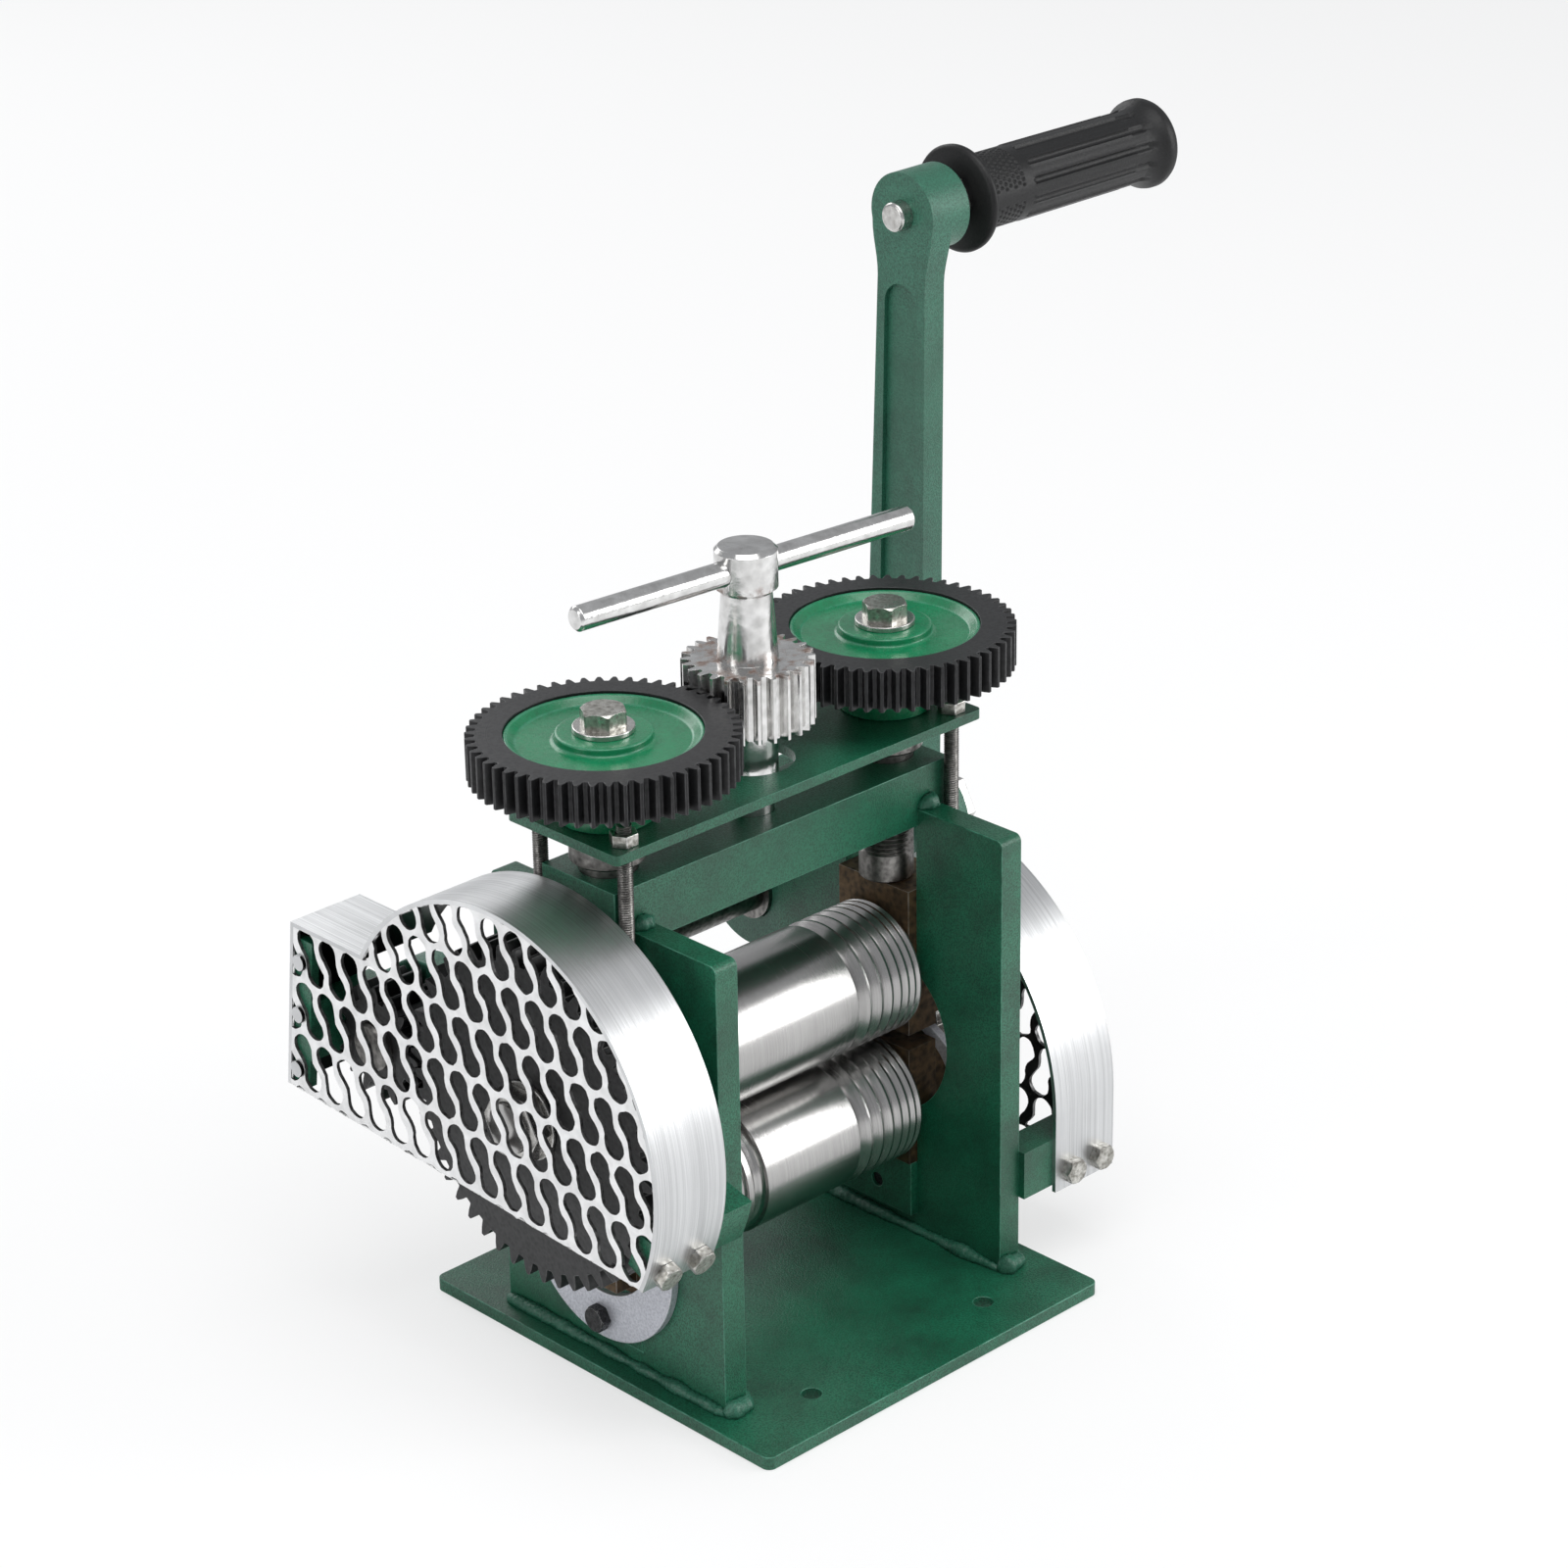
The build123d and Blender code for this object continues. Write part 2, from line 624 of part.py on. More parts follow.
pinion = Pos(0, 0, pinion_bottom) * extrude(make_face(Polyline(*pinion_points, close=True)),
                                            pinion_top - pinion_bottom)
handle += pinion
bar_z = head_top - t_bar_drop
bar = Rot(0, 0, t_bar_angle) * rod_x(-t_bar_length / 2, t_bar_length / 2, t_bar_radius, 0, bar_z)
handle -= Rot(0, 0, t_bar_angle) * rod_x(-2 * head_radius, 2 * head_radius, t_bar_radius + fit, 0, bar_z)
add("adjuster_spindle", handle)
add("t_bar", chamfer(bar.edges(), 0.9))

# ---- lift plate ----
lift_plate = Pos(0, 0, lift_plate_bottom) * extrude(
    RectangleRounded(lift_plate_length, lift_plate_depth, lift_plate_corner), lift_plate_thickness)
lift_plate -= rod_z(lift_plate_bottom - 5, lift_plate_top + 5, spindle_hole_radius)
for side in (-1, 1):
    lift_plate -= rod_z(lift_plate_bottom - 5, lift_plate_top + 5, screw_neck_radius + 0.2,
                        side * screw_x, 0)
    for way in (-1, 1):
        lift_plate -= rod_z(lift_plate_bottom - 5, lift_plate_top + 5, stud_radius + fit,
                            side * stud_x, way * stud_y)
add("lift_plate", lift_plate)


# ---- rollers ----
def roller_profile(left_end, right_end, left_seat, right_seat, grooves, rounds):
    """Half section as (radius, x) from the left end to the right end."""
    points = [(0, left_end)]
    if left_seat:
        points += [(journal_thread_radius, left_end), (journal_thread_radius, left_seat[0]),
                   (gear_seat_radius, left_seat[0]), (gear_seat_radius, left_seat[1]),
                   (journal_radius, left_seat[1])]
    else:
        points += [(journal_radius, left_end)]
    points += [(journal_radius, -barrel_half), (roller_radius - 0.5, -barrel_half),
               (roller_radius, -barrel_half + 0.5)]
    for x0, x1, width in rounds:
        points.append((roller_radius, x0))
        for step in range(1, 8):
            angle = math.pi * step / 8
            points.append((roller_radius - width / 2 * math.sin(angle),
                           (x0 + x1) / 2 - width / 2 * math.cos(angle)))
        points.append((roller_radius, x1))
    for x0, x1, width in grooves:
        points += [(roller_radius, x0), (roller_radius - width / 2, (x0 + x1) / 2), (roller_radius, x1)]
    points += [(roller_radius, barrel_half - 0.3), (roller_radius - 0.3, barrel_half),
               (journal_radius, barrel_half), (journal_radius, right_seat[0]),
               (gear_seat_radius, right_seat[0]), (gear_seat_radius, right_seat[1]),
               (journal_thread_radius, right_seat[1]), (journal_thread_radius, right_end),
               (0, right_end)]
    return points


wire_grooves = []
position = barrel_half - wire_groove_land
for width in reversed(wire_groove_widths):
    wire_grooves.insert(0, (position - width, position, width))
    position -= width + wire_groove_land
round_grooves = []
position = half_round_start
for width in half_round_widths:
    round_grooves.insert(0, (position - width, position, width))
    position -= width + half_round_land

sync_seat = (sync_inner, sync_outer)
right_end = sync_outer + 9.5
upper_roller = turned(roller_profile(-drive_outer - 9.0, right_end, (-drive_outer, -drive_inner + 0.0),
                                     sync_seat, wire_grooves, []), upper_axis_height)
lower_roller = turned(roller_profile(-block_outer - 1.0, right_end, None, sync_seat,
                                     wire_grooves, round_grooves), lower_axis_height)
add("roller_upper", upper_roller)
add("roller_lower", lower_roller)

# ---- roller gears ----
drive_points = tooth_outline(drive_teeth, drive_module, drive_module * (drive_teeth / 2 + 1),
                             drive_module * (drive_teeth / 2 - 1.25), drive_backlash,
                             math.pi / drive_teeth)
drive_gear = gear_x(drive_points, gear_seat_radius + fit, -drive_outer, -drive_inner,
                    0, upper_axis_height)
add("drive_gear", drive_gear)
sync_up = tooth_outline(sync_teeth, sync_module, sync_tip_radius, sync_root_radius, sync_backlash,
                        -math.pi / 2)
sync_down = tooth_outline(sync_teeth, sync_module, sync_tip_radius, sync_root_radius, sync_backlash,
                          math.pi / 2 + math.pi / sync_teeth)
add("sync_gear_upper", gear_x(sync_up, gear_seat_radius + fit, sync_inner, sync_outer,
                              0, upper_axis_height))
add("sync_gear_lower", gear_x(sync_down, gear_seat_radius + fit, sync_inner, sync_outer,
                              0, lower_axis_height))


def end_nut(x0, z, way):
    """Washer and nut on a journal thread, built outwards from x0."""
    face = x0 + way * roller_washer_thickness
    washer = rod_x(min(x0, face), max(x0, face), roller_washer_radius, 0, z)
    nut = facing((face, 0, z), (way, 0, 0)) * hex_prism(roller_nut_flats, roller_nut_height)
    clear = 2 * roller_nut_height
    bore = rod_x(x0 - clear, x0 + clear, journal_thread_radius + fit, 0, z)
    return washer - bore, nut - bore


add("roller_nuts_upper", *end_nut(-drive_outer, upper_axis_height, -1),
    *end_nut(sync_outer, upper_axis_height, 1))
add("roller_nuts_lower", *end_nut(sync_outer, lower_axis_height, 1))

# ---- crank shaft with its pinion and collar ----
hub_end = arm_face + arm_hub_width
shaft = rod_x(-shaft_left_end, hub_end + 10, crank_shaft_radius, crank_y, crank_z)
add("crank_shaft", chamfer(shaft.edges(), 0.8))
pinion_teeth_points = tooth_outline(drive_pinion_teeth, drive_module,
                                    drive_module * (drive_pinion_teeth / 2 + 1),
                                    drive_module * (drive_pinion_teeth / 2 - 1.25),
                                    drive_backlash, 0.0)
add("drive_pinion", gear_x(pinion_teeth_points, crank_shaft_radius + fit,
                           -drive_outer - drive_pinion_extra, -drive_inner, crank_y, crank_z))
collar_start = plate_outer + lug_thickness + 0.6
collar = rod_x(collar_start, collar_start + shaft_collar_width, shaft_collar_radius, crank_y, crank_z)
collar -= rod_x(collar_start - 5, collar_start + shaft_collar_width + 5, crank_shaft_radius + fit,
                crank_y, crank_z)
add("shaft_collar", collar)

# ---- crank arm, standing up ----
neck_z = grip_z - arm_neck_drop
root_z = crank_z + arm_hub_radius
right_side = [(arm_root_width / 2, root_z - 8), (arm_root_width / 2, root_z)]
steps = 6
for step in range(steps + 1):
    share = step / steps
    blend = (1 - math.cos(math.pi * share)) / 2
    right_side.append((arm_neck_width / 2 + (arm_head_radius * 0.96 - arm_neck_width / 2) * blend,
                       neck_z + (arm_neck_drop - 4) * share))
left_side = [(-y, z) for y, z in reversed(right_side)]
outline = [(crank_y + y, z) for y, z in right_side + left_side]
arm = slab_x(outline, arm_face, arm_face + arm_thickness)
arm += rod_x(arm_face, arm_face + arm_head_width, arm_head_radius, crank_y, grip_z)
arm += rod_x(arm_face, hub_end, arm_hub_radius, crank_y, crank_z)
recess_top = grip_z - arm_recess_margin - arm_recess_width / 2
recess_bottom = root_z + arm_recess_width / 2 + 2
for x0, x1 in ((arm_face - 5, arm_face + arm_recess_depth),
               (arm_face + arm_thickness - arm_recess_depth, arm_face + arm_thickness + 5)):
    arm -= block(x0, x1, crank_y - arm_recess_width / 2, crank_y + arm_recess_width / 2,
                 recess_bottom, recess_top)
    for z in (recess_bottom, recess_top):
        arm -= rod_x(x0, x1, arm_recess_width / 2, crank_y, z)
arm -= rod_x(arm_face - 10, hub_end + 10, crank_shaft_radius + fit, crank_y, crank_z)
arm -= rod_x(arm_face - 10, hub_end + 10, grip_spindle_radius + fit, crank_y, grip_z)
add("crank_arm", arm)
crank_nut = facing((hub_end + 1.8, crank_y, crank_z), (1, 0, 0)) * hex_prism(22.0, 7.5)
crank_washer = rod_x(hub_end, hub_end + 1.8, 13.0, crank_y, crank_z)
nut_bore = rod_x(hub_end - 5, hub_end + 20, crank_shaft_radius + fit, crank_y, crank_z)
add("crank_nut", crank_nut - nut_bore, crank_washer - nut_bore)

# ---- grip spindle, its washer and nut, and the turning grip ----
head_end = arm_face + arm_head_width
grip_end = grip_start + grip_length
tube_end = grip_end - 9.0
spindle = rod_x(arm_face - grip_spindle_stub, tube_end + 0.6, grip_spindle_radius, crank_y, grip_z)
spindle = chamfer(spindle.edges(), 0.7)
spindle += rod_x(tube_end + 0.5, tube_end + 3.5, grip_tube_radius - 0.5, crank_y, grip_z)
add("grip_spindle", spindle)
lock_nut = facing((head_end + 1.2, crank_y, grip_z), (1, 0, 0)) * hex_prism(17.0, 4.6)
lock_washer = rod_x(head_end, head_end + 1.2, 10.0, crank_y, grip_z)
spindle_bore = rod_x(head_end - 5, head_end + 12, grip_spindle_radius + fit, crank_y, grip_z)
add("spindle_nut", lock_nut - spindle_bore, lock_washer - spindle_bore)

tube = rod_x(grip_start - 1.0, tube_end, grip_tube_radius, crank_y, grip_z)
tube -= rod_x(grip_start - 10, tube_end + 10, grip_spindle_radius + grip_clearance, crank_y, grip_z)
add("grip_tube", tube)
rubber = [(grip_tube_radius + fit, 0), (grip_inner_flange_radius - 1.0, 0),
          (grip_inner_flange_radius, 1.0), (grip_inner_flange_radius, grip_flange_width - 0.8),
          (grip_radius, grip_flange_width + 1.2), (grip_radius - 0.6, grip_length - 10.0),
          (grip_radius + 0.2, grip_length - 7.0), (grip_end_flange_radius, grip_length - 3.6),
          (grip_end_flange_radius, grip_length - 1.2), (grip_end_flange_radius - 1.4, grip_length),
          (0, grip_length), (0, grip_length - 4.0), (grip_tube_radius + fit, grip_length - 4.0)]
rubber = Pos(grip_start, crank_y, grip_z) * Rot(0, 90, 0) * turned(rubber)
for flute in range(grip_flutes):
    angle = 2 * math.pi * flute / grip_flutes
    reach_out = grip_radius + grip_flute_radius * 0.35
    rubber -= rod_x(grip_start + 20.0, grip_end - 12.0, grip_flute_radius,
                    crank_y + reach_out * math.cos(angle), grip_z + reach_out * math.sin(angle))
add("grip_rubber", rubber)

# ---- gear guards ----
add("guard_band_left", band(left_path, -guard_face, -band_inner))
add("guard_sheet_left", sheet(left_path, -guard_face, -sheet_inner))
add("guard_band_right", band(right_path, band_inner, guard_face))
add("guard_sheet_right", sheet(right_path, sheet_inner, guard_face))


# front bracket of the left guard: an arc-backed arm with a deeper foot on the side plate
def ring_piece(inner, outer, low, high, x0, x1):
    """Piece of a ring about the guard's centre; angles in degrees below level at the front."""
    def at(radius, angle):
        turn = math.radians(180 + angle)
        return (left_guard_centre_y + radius * math.cos(turn),
                left_guard_centre_z + radius * math.sin(turn))
    middle = (low + high) / 2
    edges = [ThreePointArc(at(outer, low), at(outer, middle), at(outer, high)),
             Line(at(outer, high), at(inner, high)),
             ThreePointArc(at(inner, high), at(inner, middle), at(inner, low)),
             Line(at(inner, low), at(outer, low))]
    return Plane.YZ.offset(x0) * extrude(make_face(Curve() + edges), x1 - x0)


band_bore = left_guard_radius - band_thickness
half_span = math.degrees(bracket_width / 2 / band_bore)
arm_end = sheet_inner - 1.0
front_bracket = ring_piece(band_bore - bracket_depth, band_bore, bracket_angle - half_span,
                           bracket_angle + half_span, -arm_end, -plate_outer)
front_bracket += ring_piece(band_bore - bracket_foot_depth, band_bore, bracket_angle - half_span,
                            bracket_angle + half_span, -plate_outer - 8.0, -plate_outer)
band_middle = guard_face - band_width / 2
bolt_turn = math.radians(180 + guard_bolt_angle)
outward = (0, math.cos(bolt_turn), math.sin(bolt_turn))
for way in (-1, 1):
    x = -band_middle + way * guard_bolt_spacing / 2
    seat = (x, left_guard_centre_y + outward[1] * left_guard_radius,
            left_guard_centre_z + outward[2] * left_guard_radius)
    bolt = facing(seat, outward) * hex_bolt(8.0)
    hole = facing(seat, outward) * (Pos(0, 0, -5) * Cylinder(bolt_radius, 16))
    front_bracket -= hole
    nodes["guard_band_left"][0] -= hole
    add("small_hex_bolts", bolt)
add("guard_bracket_left_front", front_bracket)

# back bracket of the left guard: stands on the lug's tail, follows the slanted back of the box
foot, corner, notch, _, _ = left_profile(band_thickness)


def box_back(z):
    share = (z - foot[1]) / (corner[1] - foot[1])
    return foot[0] + (corner[0] - foot[0]) * share


strip_low, strip_high = foot[1] + 1.0, corner[1] - 4.0
strip = [(box_back(strip_low) - 8.0, strip_low), (box_back(strip_low), strip_low),
         (box_back(strip_high), strip_high), (box_back(strip_high) - 8.0, strip_high)]
arm_low, arm_high = crank_z - lug_tail_height / 2, crank_z + lug_tail_height / 2
tail_back = crank_y + lug_tail
arm_points = [(tail_back - 3.0, arm_low), (box_back(arm_low), arm_low),
              (box_back(arm_high), arm_high), (tail_back - 3.0, arm_high)]
back_bracket = slab_x(strip, -sheet_inner, -sheet_inner + 3.0)
back_bracket += slab_x(arm_points, -sheet_inner, -plate_outer - lug_thickness)
slant = math.atan2(left_box_foot_back - left_box_back, box_top - left_box_foot_height)
back_normal = (0, math.cos(slant), math.sin(slant))
for way in (-1, 1):
    x = -band_middle + way * guard_bolt_spacing / 2
    outer_y = box_back(crank_z) + band_thickness * math.hypot(1, math.tan(slant))
    seat = (x, outer_y, crank_z)
    hole = facing(seat, back_normal) * (Pos(0, 0, -3) * Cylinder(bolt_radius, 12))
    back_bracket -= hole
    nodes["guard_band_left"][0] -= hole
    add("small_hex_bolts", facing(seat, back_normal) * hex_bolt(5.0))
rivet_shapes = []
for share in (0.12, 0.5, 0.86):
    z = strip_low + (strip_high - strip_low) * share
    y = box_back(z) - 4.0
    hole = rod_x(-guard_face - 5, -sheet_inner + 10, rivet_radius + fit, y, z)
    back_bracket -= hole
    nodes["guard_sheet_left"][0] -= hole
    rivet = rod_x(-guard_face - 1.2, -guard_face, rivet_head_radius, y, z)
    rivet += rod_x(-guard_face, -sheet_inner + 3.0, rivet_radius, y, z)
    rivet_shapes.append(rivet)
add("guard_rivets", *rivet_shapes)
add("guard_bracket_left_back", back_bracket)

# right guard brackets: front and back bars on the plate's outer face
front_wall = -right_guard_front + band_thickness
back_wall = right_guard_back - band_thickness
right_brackets = []
for wall, way in ((front_wall, -1), (back_wall, 1)):
    y0, y1 = sorted((wall, wall - way * right_bracket_depth))
    bar = block(plate_outer, arm_end, y0, y1, right_bracket_foot,
                right_bracket_foot + right_bracket_height)
    for offset in (-guard_bolt_spacing / 2, guard_bolt_spacing / 2):
        seat = (band_middle + offset, wall + way * band_thickness,
                right_bracket_foot + right_bolt_rise)
        hole = facing(seat, (0, way, 0)) * (Pos(0, 0, -5) * Cylinder(bolt_radius, 16))
        bar -= hole
        nodes["guard_band_right"][0] -= hole
        add("small_hex_bolts", facing(seat, (0, way, 0)) * hex_bolt(8.0))
    right_brackets.append(bar)
add("guard_brackets_right", *right_brackets)

# ---- lean the crank about its shaft, then make the base plate's centre the origin ----
crank_nodes = ("crank_arm", "crank_nut", "grip_spindle", "spindle_nut", "grip_tube", "grip_rubber")
lean = Pos(0, crank_y, crank_z) * Rot(crank_rest_angle, 0, 0) * Pos(0, -crank_y, -crank_z)
for name, shapes in nodes.items():
    place = Pos(0, roller_setback, 0) * (lean if name in crank_nodes else Pos(0, 0, 0))
    placed = [place * solid for shape in shapes for solid in shape.solids()]
    body = placed[0] if len(placed) == 1 else Compound(children=placed)
    export_step(body, f"parts/{name}.step")
    print(name, len(placed), round(sum(solid.volume for solid in placed), 1))
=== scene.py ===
import bpy
import bmesh
import json
import math
import numpy as np
from mathutils import Matrix, Vector, noise

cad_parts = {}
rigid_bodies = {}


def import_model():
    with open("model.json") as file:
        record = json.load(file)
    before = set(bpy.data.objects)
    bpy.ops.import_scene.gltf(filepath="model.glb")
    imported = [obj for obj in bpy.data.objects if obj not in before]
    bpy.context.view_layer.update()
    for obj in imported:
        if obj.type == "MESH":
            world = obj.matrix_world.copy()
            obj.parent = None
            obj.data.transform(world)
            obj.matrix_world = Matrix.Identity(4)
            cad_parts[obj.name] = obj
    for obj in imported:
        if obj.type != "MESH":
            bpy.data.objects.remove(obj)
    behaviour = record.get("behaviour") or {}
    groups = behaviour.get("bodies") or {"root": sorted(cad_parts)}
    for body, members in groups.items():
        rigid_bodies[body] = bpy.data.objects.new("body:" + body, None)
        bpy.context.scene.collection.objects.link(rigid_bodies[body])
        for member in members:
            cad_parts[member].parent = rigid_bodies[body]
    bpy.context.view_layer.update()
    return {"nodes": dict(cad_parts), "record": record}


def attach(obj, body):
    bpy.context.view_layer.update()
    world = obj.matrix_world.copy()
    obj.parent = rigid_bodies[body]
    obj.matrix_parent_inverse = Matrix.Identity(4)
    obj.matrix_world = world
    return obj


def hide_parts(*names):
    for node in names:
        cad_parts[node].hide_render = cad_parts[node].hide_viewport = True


for leftover in list(bpy.data.objects):
    bpy.data.objects.remove(leftover)

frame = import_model()
nodeObjects = frame["nodes"]
bodyOf = {}
for bodyName, members in frame["record"]["behaviour"]["bodies"].items():
    for member in members:
        bodyOf[member] = bodyName
print("frame loaded:", len(nodeObjects), "nodes")

scene = bpy.context.scene
rollerSetback = 2.75          # mm, roller plane to the middle of the base


def mm(x, y, z):
    # a point given in mm from the roller plane, as metres in the row frame
    return Vector((x / 1000, (y + rollerSetback) / 1000, z / 1000))


# camera, floor and light

cameraSizes = {
    "azimuth": -43.793, "elevation": 23.887, "roll": -0.959,
    "target": (0.0, 0.00275, 0.216), "distance": 1.345434,
    "slideRight": 0.011033, "slideUp": -0.031877, "lens": 100.04,
}


def makeCamera(s):
    a, e, r = (math.radians(s[k]) for k in ("azimuth", "elevation", "roll"))
    back = Vector((math.sin(a) * math.cos(e), -math.cos(a) * math.cos(e), math.sin(e)))
    level = Vector((math.cos(a), math.sin(a), 0))
    over = back.cross(level)
    right = math.cos(r) * level + math.sin(r) * over
    up = -math.sin(r) * level + math.cos(r) * over
    data = bpy.data.cameras.new("photoCamera")
    data.sensor_width = 36
    data.lens = s["lens"]
    data.clip_start, data.clip_end = 0.01, 50
    cam = bpy.data.objects.new("photoCamera", data)
    scene.collection.objects.link(cam)
    place = Vector(s["target"]) + back * s["distance"] + right * s["slideRight"] + up * s["slideUp"]
    cam.matrix_world = Matrix((
        (right.x, up.x, back.x, place.x), (right.y, up.y, back.y, place.y),
        (right.z, up.z, back.z, place.z), (0, 0, 0, 1)))
    scene.camera = cam


def addLamp(name, place, aim, size, power):
    data = bpy.data.lights.new(name, "AREA")
    data.shape = "RECTANGLE"
    data.size, data.size_y = size
    data.energy = power
    lamp = bpy.data.objects.new(name, data)
    scene.collection.objects.link(lamp)
    lamp.location = place
    lamp.rotation_euler = (Vector(aim) - Vector(place)).to_track_quat("-Z", "Y").to_euler()


makeCamera(cameraSizes)
scene.view_settings.view_transform = "Standard"
addLamp("topSoft", (-0.3, -0.5, 1.9), (0, 0, 0.15), (1.6, 1.6), 22)
addLamp("frontSoft", (1.5, -1.6, 0.9), (0, 0, 0.15), (1.1, 1.5), 24)
addLamp("sideSoft", (-1.9, 0.3, 1.0), (0, 0, 0.15), (0.7, 1.5), 9)
addLamp("backSoft", (0.4, 1.9, 1.2), (0, 0, 0.2), (1.5, 1.0), 11)


# node building

def feed(tree, socket, value):
    # link a node's output, or write a constant
    if isinstance(value, bpy.types.NodeSocket):
        tree.links.new(value, socket)
    else:
        socket.default_value = value


def addNode(tree, kind, inputs=None, **settings):
    node = tree.nodes.new(kind)
    for name, value in settings.items():
        setattr(node, name, value)
    for key, value in (inputs or {}).items():
        feed(tree, node.inputs[key], value)
    return node


def mathNode(tree, operation, *values):
    node = addNode(tree, "ShaderNodeMath", operation=operation)
    for socket, value in zip(node.inputs, values):
        feed(tree, socket, value)
    return node.outputs[0]


def mixColours(tree, share, a, b):
    node = addNode(tree, "ShaderNodeMix", {0: share, 6: a, 7: b}, data_type="RGBA")
    return node.outputs[2]


def spread(tree, value, low, high, toLow=0.0, toHigh=1.0):
    node = addNode(tree, "ShaderNodeMapRange", {"Value": value, "From Min": low, "From Max": high,
                                                "To Min": toLow, "To Max": toHigh})
    return node.outputs[0]


def groupTree(name, inputs, outputs):
    tree = bpy.data.node_groups.new(name, "ShaderNodeTree")
    for label, kind, value in inputs:
        item = tree.interface.new_socket(label, in_out="INPUT", socket_type=kind)
        if value is not None:
            item.default_value = value
    for label, kind in outputs:
        tree.interface.new_socket(label, in_out="OUTPUT", socket_type=kind)
    return tree, tree.nodes.new("NodeGroupInput").outputs, tree.nodes.new("NodeGroupOutput").inputs


floatKind, colourKind, vectorKind = "NodeSocketFloat", "NodeSocketColor", "NodeSocketVector"


def makeSpeckle():
    # small droplets of hammered enamel, or the grit of a sand casting
    tree, take, give = groupTree("speckle", [
        ("Vector", vectorKind, None), ("Grain", floatKind, 900.0), ("Contrast", floatKind, 0.5)],
        [("Mask", floatKind), ("Height", floatKind)])
    fine = addNode(tree, "ShaderNodeTexNoise", {"Vector": take["Vector"],
                   "Scale": take["Grain"], "Detail": 3.0, "Roughness": 0.6})
    cells = addNode(tree, "ShaderNodeTexVoronoi", {"Vector": take["Vector"],
                    "Scale": mathNode(tree, "MULTIPLY", take["Grain"], 0.8)},
                    feature="SMOOTH_F1")
    dots = spread(tree, cells.outputs["Distance"], 0.15, 0.6)
    both = mathNode(tree, "ADD", mathNode(tree, "MULTIPLY", fine.outputs["Fac"], 0.7),
                    mathNode(tree, "MULTIPLY", dots, 0.3))
    centred = mathNode(tree, "SUBTRACT", both, 0.5)
    mask = mathNode(tree, "ADD", mathNode(tree, "MULTIPLY", centred,
                                          mathNode(tree, "MULTIPLY", take["Contrast"], 4.0)), 0.5)
    node = addNode(tree, "ShaderNodeClamp", {"Value": mask})
    tree.links.new(node.outputs[0], give["Mask"])
    tree.links.new(both, give["Height"])
    return tree


def makeEdgeWear():
    # the Edge value is 1 on rounded edges of the softened pieces, 0 elsewhere
    tree, take, give = groupTree("edgeWear", [
        ("Colour", colourKind, (0, 0, 0, 1)), ("Worn Colour", colourKind, (1, 1, 1, 1)),
        ("Edge", floatKind, 0.0), ("Amount", floatKind, 0.5), ("Vector", vectorKind, None)],
        [("Colour", colourKind), ("Mask", floatKind)])
    patch = addNode(tree, "ShaderNodeTexNoise", {"Vector": take["Vector"], "Scale": 160.0,
                    "Detail": 4.0, "Roughness": 0.7})
    worn = spread(tree, patch.outputs["Fac"], 0.35, 0.62)
    mask = mathNode(tree, "MULTIPLY", mathNode(tree, "MULTIPLY", worn, take["Edge"]),
                    take["Amount"])
    mixed = mixColours(tree, mask, take["Colour"], take["Worn Colour"])
    tree.links.new(mixed, give["Colour"])
    tree.links.new(mask, give["Mask"])
    return tree


def makeDirt():
    # soft dark patches, as oil and handling leave
    tree, take, give = groupTree("dirt", [
        ("Colour", colourKind, (0, 0, 0, 1)), ("Dirt Colour", colourKind, (0.02, 0.018, 0.015, 1)),
        ("Patch Size", floatKind, 40.0), ("Amount", floatKind, 0.4), ("Vector", vectorKind, None)],
        [("Colour", colourKind), ("Mask", floatKind)])
    cloud = addNode(tree, "ShaderNodeTexNoise", {"Vector": take["Vector"],
                    "Scale": take["Patch Size"], "Detail": 6.0, "Roughness": 0.65})
    mask = mathNode(tree, "MULTIPLY", spread(tree, cloud.outputs["Fac"], 0.42, 0.72),
                    take["Amount"])
    mixed = mixColours(tree, mask, take["Colour"], take["Dirt Colour"])
    tree.links.new(mixed, give["Colour"])
    tree.links.new(mask, give["Mask"])
    return tree


def makeBrushing():
    # fine lines: the Vector is already scaled so that it runs fast across them and slow along them
    tree, take, give = groupTree("brushing", [
        ("Vector", vectorKind, None), ("Lines", floatKind, 1.0), ("Contrast", floatKind, 0.5)],
        [("Tone", floatKind), ("Height", floatKind)])
    fine = addNode(tree, "ShaderNodeTexNoise", {"Vector": take["Vector"],
                   "Scale": take["Lines"], "Detail": 5.0, "Roughness": 0.75})
    centred = mathNode(tree, "SUBTRACT", fine.outputs["Fac"], 0.5)
    tone = mathNode(tree, "ADD", mathNode(tree, "MULTIPLY", centred,
                                          mathNode(tree, "MULTIPLY", take["Contrast"], 3.0)), 0.5)
    node = addNode(tree, "ShaderNodeClamp", {"Value": tone})
    tree.links.new(node.outputs[0], give["Tone"])
    tree.links.new(fine.outputs["Fac"], give["Height"])
    return tree


speckle, edgeWear, dirt, brushing = makeSpeckle(), makeEdgeWear(), makeDirt(), makeBrushing()
print("shader groups built")


def useGroup(tree, group, inputs):
    node = tree.nodes.new("ShaderNodeGroup")
    node.node_tree = group
    for key, value in inputs.items():
        feed(tree, node.inputs[key], value)
    return node


def speckled(tree, vector, grain, contrast):
    return useGroup(tree, speckle, {"Vector": vector, "Grain": grain, "Contrast": contrast}).outputs


def stainedBy(tree, vector, colour, dirtColour, patchSize, amount):
    return useGroup(tree, dirt, {"Colour": colour, "Dirt Colour": (*dirtColour, 1), "Vector": vector,
                                 "Patch Size": patchSize, "Amount": amount}).outputs


